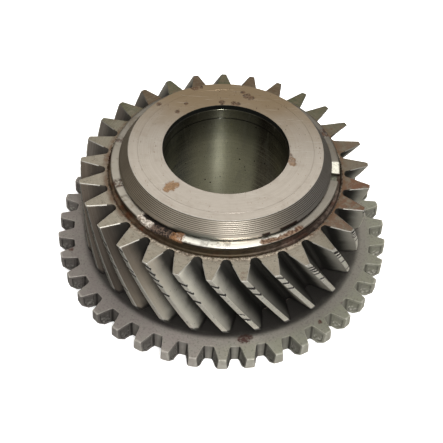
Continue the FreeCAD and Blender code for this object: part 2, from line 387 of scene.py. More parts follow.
def ground_flank():
    """Tooth flanks: satin, lines along the tooth; painted shade, near-black in the roots and at the lower ends;
    painted light and shade by angle.
    """
    n = Nodes("ground_flank")
    p, x, y, z, r, a = n.position()
    along = n.m("ADD", n.m("MULTIPLY", a, 57.2958), n.m("MULTIPLY", z, TWIST))
    grind = n.noise(n.vec(n.m("MULTIPLY", r, 2.0), n.m("MULTIPLY", along, 0.05), n.m("MULTIPLY", z, 0.05)), 1.0, 3.0, 0.6)
    cloud = n.noise(p, 0.10, 4.0, 0.6)
    fine = n.noise(p, 2.5, 3.0, 0.6)
    base = n.mix(cloud, (0.40, 0.385, 0.335), (0.56, 0.54, 0.475))
    # painted shade: flanks on the left side darker
    left = n.band(x, -14.0, -44.0)
    base = n.mix(n.m("MULTIPLY", left, 0.88), base, (0.155, 0.130, 0.112))
    base = n.mix(n.m("MULTIPLY", n.band(grind, 0.45, 0.65), 0.10), base, (0.60, 0.58, 0.52))
    depth = n.m("ADD", r, n.m("MULTIPLY", n.m("SUBTRACT", n.noise(p, 0.14, 4.0, 0.6), 0.5), 3.0))
    off, deg = n.across_tooth()
    # painted light and shade: one flank of each tooth lighter or darker by its angle round the gear
    painted_light = n.steps(deg, [(-180, 0.70), (-165, 0.55), (-150, 0.36), (-138, 0.30), (-128, 0.58), (-120, 0.95), (-112, 1.35),
                         (-100, 1.62), (-88, 1.22), (-77, 0.56), (-65, 0.30), (-52, 0.14), (-5, 0.45), (40, 0.8)])
    base = n.dim(base, n.mixf(n.band(off, -0.1, 0.1), 1.0, painted_light))
    warm = n.node("VectorMath", {"operation": "MULTIPLY"}, i0=base)
    warm.inputs[1].default_value = (1.06, 0.98, 0.90)
    base = n.mix(n.band(deg, -104.0, -126.0), base, warm.outputs[0])
    # painted shade: near-black towards the roots, weaker towards the left
    root = n.band(depth, 57.6, 51.4)
    root = n.m("MULTIPLY", root, n.steps(deg, [(-180, 0.62), (-150, 0.70), (-128, 0.95), (100, 0.95), (140, 0.72), (180, 0.62)]))
    base = n.mix(root, base, (0.016, 0.015, 0.013))
    # painted shade: darker towards the lower ends of the flanks
    foot = n.band(z, BOTTOM_Z + 5.0, BOTTOM_Z + 0.5)
    base = n.mix(n.m("MULTIPLY", foot, n.band(r, 58.0, 55.0, 0.0, 0.75)), base, (0.020, 0.018, 0.016))
    # painted shade: near-black along the lower end of each tooth
    low = n.m("SUBTRACT", n.m("ADD", z, n.m("MULTIPLY", n.m("SUBTRACT", fine, 0.5), 0.8)), n.steps(r, [(TIP_R - 1.5, 0.0), (TIP_R, 1.5)]))
    base = n.mix(n.band(low, BOTTOM_Z + 1.9, BOTTOM_Z + 0.9, 0.0, 0.93), base, (0.014, 0.012, 0.011))
    spots = n.m("MULTIPLY", n.band(n.cells(p, 0.55), 0.06, 0.13, 1.0, 0.0), n.band(n.noise(p, 0.10, 2.0), 0.44, 0.56))
    blotch = n.m("MULTIPLY", n.band(n.noise(p, 1.1, 4.0, 0.7), 0.60, 0.70), n.band(n.noise(p, 0.12, 2.0), 0.50, 0.62))
    col = n.mix(n.m("MULTIPLY", n.m("MAXIMUM", spots, blotch), 0.75), base, (0.03, 0.025, 0.022))
    # painted shade: the nicks near-black
    nick = n.node("Attribute", {"attribute_name": "nick"}).outputs["Fac"]
    col = n.mix(n.m("MULTIPLY", n.band(nick, 0.15, 0.7), 0.9), col, (0.014, 0.012, 0.011))
    rough = n.m("ADD", 0.42, n.m("ADD", n.m("MULTIPLY", cloud, 0.14), n.m("MULTIPLY", root, 0.15)))
    nrm = n.bump(grind, 0.006, 0.5)
    nrm = n.bump(fine, 0.010, 0.4, nrm)
    return n.finish(col, 0.72, rough, nrm)


def edge_wear_and_light(name="edge_wear_and_light", tone=1.0):
    """Chamfers and tip lands: bare bright metal, painted lighter or darker by angle round the gear, with handling
    nicks painted near-black as shade.
    """
    n = Nodes(name)
    p, x, y, z, r, a = n.position()
    cloud = n.noise(p, 0.5, 4.0, 0.6)
    fine = n.noise(p, 4.0, 3.0, 0.6)
    base = n.mix(cloud, tuple(c * tone for c in (0.40, 0.385, 0.345)), tuple(c * tone for c in (0.60, 0.58, 0.53)))
    # painted light and shade by angle round the gear
    base = n.dim(base, n.steps(n.m("MULTIPLY", a, 57.2958), [(-180, 1.7), (-150, 2.1), (-128, 2.0), (-110, 1.5), (-80, 1.5), (-40, 1.2), (0, 0.9), (60, 0.4), (150, 0.5), (165, 1.3), (180, 1.7)]))
    dark = n.m("MULTIPLY", n.band(n.noise(p, 0.9, 4.0, 0.7), 0.58, 0.72), 0.6)
    # painted shade: the nicks near-black
    nick = n.node("Attribute", {"attribute_name": "nick"}).outputs["Fac"]
    dark = n.m("MAXIMUM", dark, n.band(nick, 0.1, 0.6, 0.0, 0.97))
    col = n.mix(dark, base, (0.020, 0.017, 0.015))
    rough = n.m("ADD", n.mixf(dark, 0.52, 0.7), n.m("MULTIPLY", fine, 0.12))
    return n.finish(col, n.mixf(dark, 0.8, 0.4), rough, n.bump(fine, 0.02, 0.6))


def tip_land():
    """Tips of the helical teeth: bare metal, painted lighter by angle and brightest at the front right; painted
    near-black as shade where knocked and towards the lower ends.
    """
    n = Nodes("tip_land")
    p, x, y, z, r, a = n.position()
    off, deg = n.across_tooth()
    cloud = n.noise(p, 0.6, 4.0, 0.6)
    fine = n.noise(p, 4.0, 3.0, 0.6)
    base = n.mix(cloud, (0.42, 0.405, 0.365), (0.60, 0.585, 0.535))
    # painted light: lighter or darker by angle round the gear, brightest at the front right
    tone = n.steps(deg, [(-180, 0.45), (-150, 0.35), (-138, 0.48), (-126, 0.85), (-113, 1.2), (-100, 1.65), (-60, 1.9), (60, 1.3)])
    base = n.dim(base, tone)
    # painted highlight: a bright line along the left edge of the tip on the front-left teeth
    painted_edge_highlight = n.m("MULTIPLY", n.band(off, -0.62, -0.92), n.band(deg, -108.0, -122.0))
    base = n.mix(n.m("MULTIPLY", painted_edge_highlight, n.band(fine, 0.35, 0.5, 0.35, 0.9)), base, (0.74, 0.71, 0.64))
    dark = n.m("MULTIPLY", n.band(n.noise(p, 0.9, 4.0, 0.7), 0.58, 0.70), 0.6)
    # painted shade: near-black towards the lower end of each tip, and in the nicks
    dark = n.m("MAXIMUM", dark, n.band(z, BOTTOM_Z + 3.1, BOTTOM_Z + 2.3, 0.0, 0.94))
    nick = n.node("Attribute", {"attribute_name": "nick"}).outputs["Fac"]
    dark = n.m("MAXIMUM", dark, n.band(nick, 0.1, 0.5, 0.0, 0.98))
    col = n.mix(dark, base, (0.016, 0.014, 0.013))
    rough = n.m("ADD", n.mixf(dark, 0.42, 0.7), n.m("MULTIPLY", fine, 0.12))
    return n.finish(col, n.mixf(dark, 0.9, 0.4), rough, n.bump(fine, 0.02, 0.6))


def rusty_groove():
    """Collar wall and face groove: oily brown with rust, painted lighter towards the front; bare glints at the lip,
    painted brighter towards the front as a highlight.
    """
    n = Nodes("rusty_groove")
    p, x, y, z, r, a = n.position()
    cloud = n.noise(p, 0.18, 5.0, 0.65)
    fine = n.noise(p, 1.6, 4.0, 0.7)
    pits = n.noise(p, 0.9, 5.0, 0.7)
    # painted light: lighter towards the front
    front = front_share(n, 22.0, 44.0)
    base = n.mix(front, n.mix(cloud, (0.040, 0.030, 0.020), (0.105, 0.078, 0.050)), n.mix(cloud, (0.062, 0.045, 0.026), (0.125, 0.098, 0.062)))
    right = n.m("MULTIPLY", n.band(x, 5.0, 30.0), n.band(y, 5.0, -15.0))
    left = n.m("MULTIPLY", n.band(x, -16.0, -30.0), n.band(y, 12.0, 2.0))
    base = n.mix(left, base, n.mix(n.band(cloud, 0.38, 0.60), (0.080, 0.050, 0.028), (0.210, 0.150, 0.098)))
    base = n.mix(n.m("MULTIPLY", left, n.band(n.noise(p, 0.20, 3.0, 0.6), 0.50, 0.62, 0.0, 0.8)), base, (0.170, 0.062, 0.026))
    base = n.mix(n.m("MULTIPLY", right, 0.85), base, n.mix(n.band(cloud, 0.38, 0.60), (0.085, 0.062, 0.050), (0.235, 0.185, 0.155)))
    patchy = n.band(pits, 0.46, 0.60)
    base = n.mix(n.m("MULTIPLY", patchy, n.mixf(right, 0.30, 0.65)), base, (0.026, 0.016, 0.012))
    base = n.mix(n.m("MULTIPLY", n.band(fine, 0.55, 0.75), 0.45), base, (0.17, 0.105, 0.055))
    red = n.m("MULTIPLY", n.band(n.noise(p, 0.11, 3.0, 0.6), 0.52, 0.66), 0.6)
    base = n.mix(red, base, (0.105, 0.036, 0.020))
    shelf = n.m("MULTIPLY", n.band(r, 45.3, 45.1), n.band(z, COLLAR_Z - 0.3, COLLAR_Z - 0.1))
    base = n.mix(shelf, base, n.mix(pits, (0.075, 0.080, 0.062), (0.20, 0.20, 0.155)))
    # bare metal at the lip, painted brighter towards the front as a highlight
    lip = n.m("MULTIPLY", n.band(r, 46.95, 47.25), n.band(n.noise(p, 0.8, 4.0, 0.75), 0.44, 0.58))
    lip = n.m("MULTIPLY", lip, n.mixf(front, 0.45, 1.0))
    col = n.mix(lip, base, (0.80, 0.72, 0.58))
    rough = n.mixf(lip, n.m("ADD", 0.38, n.m("MULTIPLY", fine, 0.25)), 0.34)
    nrm = n.bump(n.m("ADD", pits, n.m("MULTIPLY", fine, 0.4)), 0.16, 0.6)
    return n.finish(col, n.mixf(lip, 0.7, 1.0), rough, nrm)


def bore_polish():
    """Bore wall: greenish hardened steel, honed, with fine pitting."""
    n = Nodes("bore_polish")
    p, x, y, z, r, a = n.position()
    rings = n.noise(n.cyl(0.0, 0.02, 1.6, 25.0), 1.0, 3.0, 0.6)
    cloud = n.noise(p, 0.08, 4.0, 0.6)
    grain = n.noise(p, 2.1, 2.0, 0.65)
    pits = n.m("MULTIPLY", n.band(n.cells(p, 0.26), 0.075, 0.115, 1.0, 0.0), n.band(n.noise(p, 0.10, 2.0), 0.40, 0.50))
    base = n.mix(cloud, (0.200, 0.205, 0.150), (0.290, 0.285, 0.215))
    # painted shade: darker, browner towards the right-hand wall; blue-black towards the left
    base = n.mix(n.m("MULTIPLY", n.band(x, 10.5, 15.5), 0.90), base, (0.040, 0.031, 0.024))
    base = n.mix(n.m("MULTIPLY", n.band(x, -10.0, -20.0), 0.82), base, (0.040, 0.046, 0.052))
    base = n.mix(n.m("MULTIPLY", n.band(rings, 0.45, 0.65), 0.20), base, (0.36, 0.36, 0.29))
    base = n.mix(n.m("MULTIPLY", n.band(grain, 0.42, 0.60), 0.16), base, (0.46, 0.44, 0.36))
    # painted light: brighter low in the bore, darker towards the mouth
    base = n.dim(base, n.steps(z, [(22.0, 2.9), (34.0, 2.25), (40.0, 1.32), (46.0, 0.84), (51.5, 0.62)]))
    smear = n.m("MULTIPLY", n.band(n.noise(n.node("Mapping", None, Vector=p, Rotation=(0.5, 0.3, 0.2), Scale=(0.35, 0.35, 0.09)).outputs[0], 1.0, 2.0, 0.5), 0.60, 0.66), 0.20)
    base = n.mix(smear, base, (0.46, 0.46, 0.40))
    col = n.mix(pits, base, (0.012, 0.011, 0.009))
    joint = n.band(n.m("ABSOLUTE", n.m("SUBTRACT", z, SLEEVE_Z1)), 0.16, 0.42, 0.92, 0.0)
    col = n.mix(joint, col, (0.012, 0.012, 0.010))
    rough = n.m("ADD", 0.235, n.m("MULTIPLY", grain, 0.12))
    nrm = n.bump(grain, 0.006, 0.5)
    nrm = n.bump(rings, 0.004, 0.6, nrm)
    return n.finish(col, 1.0, rough, nrm, aniso=0.95, tangent=True)


def bore_mouth_shade():
    """Lead-in of the bore: painted shade, near-black."""
    n = Nodes("bore_mouth_shade")
    p = n.position()[0]
    fine = n.noise(p, 1.2, 4.0, 0.6)
    col = n.mix(fine, (0.010, 0.012, 0.011), (0.026, 0.027, 0.024))
    return n.finish(col, 0.8, n.m("ADD", 0.40, n.m("MULTIPLY", fine, 0.15)), n.bump(fine, 0.02, 0.5))


def cone_finish():
    """Friction cone: browned; the fine grooves painted darker than their crests as shade; painted reflections at the
    sides and painted highlight at the front.
    """
    n = Nodes("cone_finish")
    p, x, y, z, r, a = n.position()
    cloud = n.noise(p, 0.10, 4.0, 0.6)
    fine = n.noise(p, 1.8, 4.0, 0.65)
    deep = n.node("Attribute", {"attribute_name": "deep"}).outputs["Fac"]
    base = n.mix(cloud, (0.300, 0.268, 0.222), (0.400, 0.362, 0.305))
    # painted reflection: slate grey on the right side, brown on the left
    slate_reflection = n.m("MULTIPLY", n.band(x, 16.0, 34.0), 0.75)
    base = n.mix(slate_reflection, base, (0.205, 0.200, 0.200))
    brown = n.m("MULTIPLY", n.band(x, -18.0, -34.0), 0.6)
    base = n.mix(brown, base, (0.215, 0.180, 0.138))
    deg = n.m("MULTIPLY", a, 57.2958)
    # painted highlight and shade: brighter towards the front, darker at the sides and back
    base = n.dim(base, n.steps(deg, [(-180, 0.80), (-165, 0.85), (-140, 1.5), (-118, 1.9), (-100, 1.60), (-84, 1.50), (-66, 1.65),
                                     (-45, 1.2), (-25, 0.85), (20, 0.8)]))
    # painted shade in the grooves, stronger or weaker by angle round the cone
    deep = n.m("MULTIPLY", deep, n.steps(deg, [(-180, 0.25), (-165, 0.35), (-135, 0.85), (-105, 0.72), (-90, 0.60), (-70, 0.80), (-35, 0.85), (-10, 0.35)]))
    col = n.mix(deep, base, (0.030, 0.024, 0.018))
    spots = n.band(n.noise(p, 0.6, 4.0, 0.7), 0.62, 0.75)
    col = n.mix(n.m("MULTIPLY", spots, 0.5), col, (0.08, 0.055, 0.035))
    # lip at the foot of the cone: dull on the left of the front, two black patches on the right
    foot = n.band(z, CONE_BASE_Z + 0.15, CONE_BASE_Z - 0.05)
    dull = n.m("MULTIPLY", foot, n.m("MULTIPLY", n.band(deg, -119.0, -114.0), n.band(deg, -88.0, -96.0)))
    col = n.mix(n.m("MULTIPLY", dull, 0.75), col, (0.085, 0.092, 0.080))
    band2 = n.m("MULTIPLY", n.band(z, CONE_BASE_Z + 0.90, CONE_BASE_Z + 0.70), n.m("MULTIPLY", n.band(deg, -117.0, -112.0), n.band(deg, -86.0, -97.0)))
    col = n.mix(n.m("MULTIPLY", band2, 0.62), col, (0.095, 0.105, 0.092))
    patch = n.m("MAXIMUM", n.m("MULTIPLY", n.band(deg, -59.8, -58.8), n.band(deg, -48.2, -49.2)), n.m("MULTIPLY", n.band(deg, -69.8, -69.0), n.band(deg, -64.6, -65.4)))
    patch = n.m("MULTIPLY", patch, n.band(n.m("ADD", z, n.m("MULTIPLY", n.m("SUBTRACT", fine, 0.5), 0.6)), CONE_BASE_Z + 0.40, CONE_BASE_Z + 0.15))
    col = n.mix(n.m("MULTIPLY", patch, 0.95), col, (0.028, 0.015, 0.011))
    rough = n.m("ADD", n.mixf(deep, 0.38, 0.6), n.m("MULTIPLY", fine, 0.10))
    return n.finish(col, 1.0, rough, n.bump(fine, 0.02, 0.5), aniso=0.55, tangent=True)


def snap_finish():
    """Retaining ring: bright, painted near-white towards the front as a highlight, with corroded stretches."""
    n = Nodes("snap_finish")
    p, x, y, z, r, a = n.position()
    cloud = n.noise(p, 0.14, 4.0, 0.6)
    fine = n.noise(p, 1.3, 4.0, 0.65)
    mid = n.noise(p, 0.50, 5.0, 0.65)
    rust = n.node("Attribute", {"attribute_name": "rust"}).outputs["Fac"]
    pit = n.node("Attribute", {"attribute_name": "pit"}).outputs["Fac"]
    base = n.mix(cloud, (0.235, 0.215, 0.185), (0.33, 0.31, 0.275))
    # painted highlight: near-white towards the front; then painted light and shade by angle round the ring
    base = n.mix(front_share(n, 33.0, 43.0), base, (0.88, 0.86, 0.79))
    base = n.dim(base, n.steps(n.m("MULTIPLY", a, 57.2958), [(-180, 1.12), (-160, 1.15), (-138, 1.10), (-122, 1.0), (-62, 1.0), (-45, 0.85), (-10, 0.72), (20, 0.62), (120, 0.62), (160, 0.85), (180, 1.12)]))
    stain = n.band(n.noise(p, 0.35, 4.0, 0.7), 0.54, 0.68, 0.0, 0.5)
    base = n.mix(stain, base, (0.15, 0.115, 0.08))
    deg = n.m("MULTIPLY", a, 57.2958)
    # painted highlight on the upper ends of the ring beside the gap
    end = n.m("MULTIPLY", n.band(deg, -6.4, -5.9), n.band(deg, 3.2, 2.2))
    base = n.mix(n.m("MULTIPLY", end, n.band(fine, 0.25, 0.6, 0.55, 1.0)), base, (0.90, 0.90, 0.80))
    rag = n.m("MULTIPLY", n.m("SUBTRACT", mid, 0.5), 3.0)
    wander = n.m("ADD", deg, n.m("MULTIPLY", n.m("SUBTRACT", fine, 0.5), 5.0))
    rr = n.m("ADD", r, rag)

    def stretch_of(a0, a1, soft=0.7):
        return n.m("MULTIPLY", n.band(wander, a0 - soft, a0 + soft), n.band(wander, a1 + soft, a1 - soft))

    # darker below the top face; small places of wear elsewhere
    base = n.mix(n.band(z, SNAP_Z - 0.22, SNAP_Z - 0.45, 0.0, 0.9), base, (0.030, 0.023, 0.015))
    brown = n.m("MULTIPLY", n.m("MULTIPLY", pit, n.band(mid, 0.40, 0.52)), n.m("SUBTRACT", 1.0, n.m("MAXIMUM", stretch_of(-136, -107), stretch_of(-73, -45))))
    col = n.mix(brown, base, n.mix(n.band(fine, 0.4, 0.6), (0.020, 0.012, 0.009), (0.115, 0.060, 0.038)))
    # front left: hammered, then pitted, then orange; eaten away along the inside, the inside edge painted near-black
    # as shade in the cavity
    hammered = stretch_of(-135.0, -124.5)
    col = n.mix(hammered, col, n.mix(n.band(fine, 0.40, 0.60), (0.260, 0.210, 0.170), (0.780, 0.720, 0.650)))
    pitted = stretch_of(-125.5, -112.8)
    col = n.mix(pitted, col, n.mix(n.band(fine, 0.46, 0.58), (0.012, 0.008, 0.006), (0.165, 0.115, 0.088)))
    orange = stretch_of(-114.6, -108.6)
    col = n.mix(n.m("MULTIPLY", orange, n.band(mid, 0.34, 0.50, 0.35, 0.95)), col, n.mix(n.band(fine, 0.35, 0.65), (0.120, 0.052, 0.020), (0.330, 0.170, 0.075)))
    rim_r = n.steps(deg, [(-134, 43.9), (-128, 43.9), (-122, 43.5), (-117, 42.9), (-112, 42.4), (-108, 41.8)])
    cavity_shade = n.m("MULTIPLY", n.band(n.m("SUBTRACT", rr, rim_r), 0.25, -0.10), n.m("MULTIPLY", n.band(deg, -134.6, -133.0), n.band(deg, -108.0, -109.5)))
    # front right: tan scab on the outer half
    scab = n.m("MULTIPLY", stretch_of(-71.0, -48.0), n.m("MULTIPLY", n.band(n.m("ADD", rr, n.m("MULTIPLY", rag, 0.6)), 43.9, 44.3), n.band(r, 46.0, 45.85)))
    col = n.mix(scab, col, n.mix(n.band(fine, 0.42, 0.58), (0.085, 0.040, 0.024), (0.270, 0.185, 0.125)))
    col = n.mix(cavity_shade, col, (0.012, 0.008, 0.006))
    dull = n.m("MAXIMUM", n.m("MULTIPLY", any_of(n, [brown, pitted, scab, cavity_shade]), 0.9), n.m("MAXIMUM", orange, n.m("MULTIPLY", hammered, 0.35)))
    rough = n.m("ADD", n.mixf(dull, 0.30, 0.72), n.m("MULTIPLY", fine, 0.10))
    nrm = n.bump(fine, 0.02, 0.4)
    nrm = n.bump(n.m("MULTIPLY", mid, n.m("MAXIMUM", pit, rust)), 0.45, 0.9, nrm)
    return n.finish(col, n.mixf(dull, 1.0, 0.4), rough, nrm, aniso=0.3, tangent=True)


def dog_finish():
    """Straight-tooth ring: matte heat-treated grey, faintly green and violet; painted shadow under the gear, painted
    light and shade by angle, painted shade in the gaps and pockets.
    """
    n = Nodes("dog_finish")
    p, x, y, z, r, a = n.position()
    broad = n.noise(p, 0.035, 3.0, 0.5)
    cloud = n.noise(p, 0.22, 5.0, 0.6)
    fine = n.noise(p, 2.2, 4.0, 0.65)
    grit = n.noise(p, 1.2, 5.0, 0.7)
    hue = n.band(n.m("ADD", x, n.m("MULTIPLY", n.m("SUBTRACT", broad, 0.5), 70.0)), -25.0, 35.0)
    hue = n.m("MULTIPLY", hue, n.band(r, 61.0, 65.0, 0.35, 1.0))
    base = n.mix(hue, (0.232, 0.206, 0.192), (0.238, 0.238, 0.185))
    base = n.mix(n.m("MULTIPLY", n.band(cloud, 0.40, 0.70), 0.55), base, (0.245, 0.238, 0.208))
    base = n.mix(n.m("MULTIPLY", n.band(fine, 0.55, 0.75), 0.5), base, (0.33, 0.32, 0.285))
    marks = n.m("MULTIPLY", n.band(grit, 0.50, 0.68), 0.42)
    base = n.mix(marks, base, (0.055, 0.050, 0.043))
    # painted shadow: near-black under the gear, weaker at the sides; then painted light on the outer tops towards the
    # front
    under = n.m("ADD", r, n.m("MULTIPLY", n.m("SUBTRACT", cloud, 0.5), 2.0))
    base = n.mix(n.m("MULTIPLY", n.band(under, 59.8, 55.6), n.steps(n.m("MULTIPLY", a, 57.2958), [(-178, 0.25), (-150, 0.55), (-125, 0.88), (-95, 0.93), (-30, 0.94), (-5, 0.5), (25, 0.25)])), base, (0.018, 0.016, 0.015))
    lit = n.steps(n.m("MULTIPLY", a, 57.2958), [(-128, 1.05), (-108, 1.45), (-76, 1.50), (-62, 1.15), (-50, 1.0)])
    base = n.dim(base, n.mixf(n.band(r, 59.0, 61.0), 1.0, lit))
    warp = n.noise(p, 0.8, 4.0, 0.65)
    blots = any_of(n, [n.spot((cx, cy, RING_Z1), rad, 0.4, warp, rad * 1.4) for cx, cy, rad in RING_SPOTS])
    col = n.mix(n.m("MULTIPLY", blots, n.band(n.noise(p, 1.5, 4.0, 0.7), 0.36, 0.55, 0.45, 0.95)), base, (0.080, 0.036, 0.030))
    # edge wear, painted bright as highlights
    painted_light = n.node("Attribute", {"attribute_name": "edge"}).outputs["Fac"]
    soot = n.node("Attribute", {"attribute_name": "soot"}).outputs["Fac"]
    col = n.mix(n.m("MULTIPLY", n.m("MULTIPLY", painted_light, n.band(fine, 0.35, 0.6, 0.25, 1.0)), 0.85), col, (0.60, 0.585, 0.52))
    deg = n.m("MULTIPLY", a, 57.2958)
    # painted light: upper outer faces of the teeth lighter at the front
    outer = n.m("MULTIPLY", n.band(z, RING_Z1 - 0.1, RING_Z1 - 0.6), n.steps(deg, [(-125, 0.0), (-108, 0.55), (-72, 0.50), (-50, 0.10)]))
    outer = n.m("MULTIPLY", outer, n.band(r, 61.0, 62.5))
    col = n.mix(outer, col, n.mix(n.band(cloud, 0.4, 0.65), (0.34, 0.325, 0.29), (0.50, 0.48, 0.43)))
    # painted light and shade on the upper tooth walls by angle round the ring; below, painted shade by which way each
    # side wall faces
    wall = n.m("MULTIPLY", n.band(z, RING_Z1 - 0.15, RING_Z1 - 0.5), n.band(r, 61.0, 62.5))
    col = n.dim(col, n.mixf(wall, 1.0, n.steps(deg, [(-178, 0.60), (-130, 0.62), (-116, 0.85), (-104, 1.0), (-62, 1.0), (-50, 1.15), (-5, 1.12), (30, 0.9)])))
    nv = n.node("NewGeometry").outputs["Normal"]
    sep = n.node("SeparateXYZ", None, Vector=nv)
    side = n.m("SUBTRACT", n.m("MULTIPLY", n.m("COSINE", a), sep.outputs[1]), n.m("MULTIPLY", n.m("SINE", a), sep.outputs[0]))
    shade_cw = n.m("MULTIPLY", n.band(side, -0.35, -0.70), n.steps(deg, [(-106, 0.0), (-98, 0.50), (-66, 0.50), (-56, 0.0)]))
    shade_ccw = n.m("MULTIPLY", n.band(side, 0.35, 0.70), n.steps(deg, [(-140, 0.0), (-125, 0.32), (-100, 0.50), (-80, 0.50), (-70, 0.0)]))
    col = n.dim(col, n.m("SUBTRACT", 1.0, n.m("ADD", shade_cw, shade_ccw)))
    # painted shade in the gaps and pockets
    deep = n.m("MULTIPLY", n.band(r, 65.6, 64.0), n.band(z, RING_Z1 - 0.15, RING_Z1 - 0.9))
    open_side = n.steps(deg, [(-62, 1.0), (-50, 0.60), (0, 0.60), (30, 0.8)])
    col = n.mix(n.m("MULTIPLY", n.m("MULTIPLY", deep, open_side), 0.35), col, (0.05, 0.046, 0.040))
    col = n.mix(n.m("MULTIPLY", n.m("MULTIPLY", soot, open_side), n.band(cloud, 0.30, 0.55, 0.65, 0.95)), col, (0.020, 0.018, 0.016))
    rough = n.m("ADD", n.mixf(painted_light, 0.58, 0.42), n.m("MULTIPLY", fine, 0.14))
    nrm = n.bump(fine, 0.04, 0.7)
    nrm = n.bump(grit, 0.10, 0.6, nrm)
    return n.finish(col, 0.55, rough, nrm, spec=0.4)


def place(px, py, z):
    """Point of the plane z seen at a picture position (443 by 443 frame)."""
    d = CAM_R * ((px - 221.5) / FOCAL) + CAM_U * ((221.5 - py) / FOCAL) - CAM_B
    t = (z - CAM_POS.z) / d.z
    q = CAM_POS + d * t
    return q.x, q.y


# ------------------------------------------------------------------ camera
FOCAL = 915.98            # focal length over a 443-wide frame
CAM_DIST, CAM_EL, CAM_ROLL = 378.08, math.radians(48.485), math.radians(-2.831)
SHIFT_X, SHIFT_Y = -1.141, -15.712
TARGET = Vector((0.0, 0.0, HEIGHT - 20.528))
se, ce = math.sin(CAM_EL), math.cos(CAM_EL)
right0, up0 = Vector((1, 0, 0)), Vector((0, se, ce))
CAM_B = Vector((0, -ce, se))
cr, sr = math.cos(CAM_ROLL), math.sin(CAM_ROLL)
CAM_R = right0 * cr - up0 * sr
CAM_U = right0 * sr + up0 * cr
CAM_POS = TARGET + CAM_B * CAM_DIST + CAM_R * SHIFT_X + CAM_U * SHIFT_Y
cam_data = bpy.data.cameras.new("camera")
cam_data.sensor_width = 36.0
cam_data.lens = FOCAL / 443.0 * 36.0
cam_data.clip_start = 0.01
cam = bpy.data.objects.new("camera", cam_data)
bpy.context.scene.collection.objects.link(cam)
rot = Matrix((CAM_R, CAM_U, CAM_B)).transposed().to_4x4()
cam.matrix_world = Matrix.Translation(CAM_POS * MM) @ rot
bpy.context.scene.camera = cam

SPOTS = [(*place(171, 186, HEIGHT), 2.4), (*place(167, 189, HEIGHT), 1.6), (*place(176, 184.5, HEIGHT), 1.3),
         (*place(291, 160, HEIGHT), 1.9), (*place(290, 155, HEIGHT), 1.0), (*place(293, 164, HEIGHT), 1.3),
         (*place(222, 102.5, HEIGHT), 1.3), (*place(234, 103.5, HEIGHT), 1.3), (*place(238, 104, HEIGHT), 1.1),
         (*place(247, 96, HEIGHT), 1.7), (*place(251, 98, HEIGHT), 1.4), (*place(243, 92.5, HEIGHT), 1.0),
         (*place(186, 103.5, HEIGHT), 0.8), (*place(177.5, 111.5, HEIGHT), 1.0), (*place(159, 104, HEIGHT), 1.0),
         (*place(195, 88, HEIGHT), 1.6), (*place(201, 87, HEIGHT), 1.0)]
RING_SPOTS = [(*place(245, 338, RING_Z1), 2.3), (*place(242, 339.5, RING_Z1), 1.7), (*place(249, 337, RING_Z1), 1.6),
              (*place(71, 249, RING_Z1), 1.2), (*place(343, 303, RING_Z1), 0.9), (*place(320, 322, RING_Z1), 0.9)]

# ------------------------------------------------------------------ helical gear
M_TURN, M_TFACE, M_FLANK, M_EDGE, M_GROOVE, M_BORE, M_MOUTH, M_LAND = range(8)
gear_mats = [turned_face(), tooth_face(), ground_flank(), edge_wear_and_light("edge_wear_and_light", 0.62), rusty_groove(), bore_polish(), bore_mouth_shade(), tip_land()]


def tooth_outline(inset=0.0):
    """One tooth from gap middle to gap middle: local angle (degrees), radius, and tip flag."""
    pitch = 360.0 / TEETH
    xs = [49.6, 51.5, 54.0, 56.5, 58.3]
    hs = [3.68, 3.22, 2.45, 1.72, 1.14]
    # half gap, a U with its floor at 48.35
    half_gap = math.pi * 49.6 / TEETH - 3.68
    t = np.linspace(0, 1, 7) * math.pi / 2
    gx = half_gap * np.sin(t)
    gr = 49.6 - 1.25 * np.cos(t)
    gap_ang = -pitch / 2 + np.degrees(gx / gr)
    fr = np.linspace(49.6, 58.3, 20)[1:]
    fa = -np.degrees(hermite(xs, hs, fr) / fr)
    tipr = np.array([58.45, 58.57, 58.63, TIP_R, TIP_R])
    tiph = np.array([1.08, 1.00, 0.90, 0.45, 0.0])
    ta = -np.degrees(tiph / tipr)
    ang = np.concatenate([gap_ang, fa, ta])
    rad = np.concatenate([gr, fr, tipr])
    nt = len(tipr)
    if inset:
        th = np.radians(ang)
        pts = np.stack([rad * np.sin(th), rad * np.cos(th)], -1)
        d = np.gradient(pts, axis=0)
        d[0] = (1.0, -math.tan(th[0]) * 1.0)
        d /= np.linalg.norm(d, axis=1)[:, None]
        nor = np.stack([-d[:, 1], d[:, 0]], -1)
        depth = inset * np.clip((rad - 49.2) / 1.8, 0.35, 1.0)
        pts = pts - nor * depth[:, None]
        ang = np.degrees(np.arctan2(pts[:, 0], pts[:, 1]))
        rad = np.hypot(pts[:, 0], pts[:, 1])
        ang[0] = -pitch / 2
        # the tip shrinks evenly, so the outline never folds over
        h_end = -math.radians(ang[-nt - 1]) * rad[-nt - 1]
        rad[-nt:] = TIP_R - inset - (TIP_R - tipr) * 0.6
        ang[-nt:] = -np.degrees(h_end * 0.93 * tiph / tiph[0] / rad[-nt:])
    tip = np.concatenate([np.zeros(len(ang) - nt - 1), np.ones(nt + 1)])
    # mirror for the other flank, leaving out the middle and the shared gap point
    ang = np.concatenate([ang, -ang[-2:0:-1]])
    rad = np.concatenate([rad, rad[-2:0:-1]])
    tip = np.concatenate([tip, tip[-2:0:-1]])
    assert (np.diff(ang) > 0).all()
    return ang, rad, tip


def gear_columns(inset):
    ang, rad, tip = tooth_outline(inset)
    pitch = 360.0 / TEETH
    k = np.arange(TEETH)[:, None]
    th = np.radians(FIRST_TOOTH - k * pitch - ang[None, :])
    return th.ravel(), np.tile(rad, TEETH), np.tile(tip, TEETH), np.repeat(np.arange(TEETH), len(ang))


CH = 0.25
th_in, r_in, tipf, tooth_of = gear_columns(CH)
th_full, r_full, _, _ = gear_columns(0.0)
NU = len(th_in)
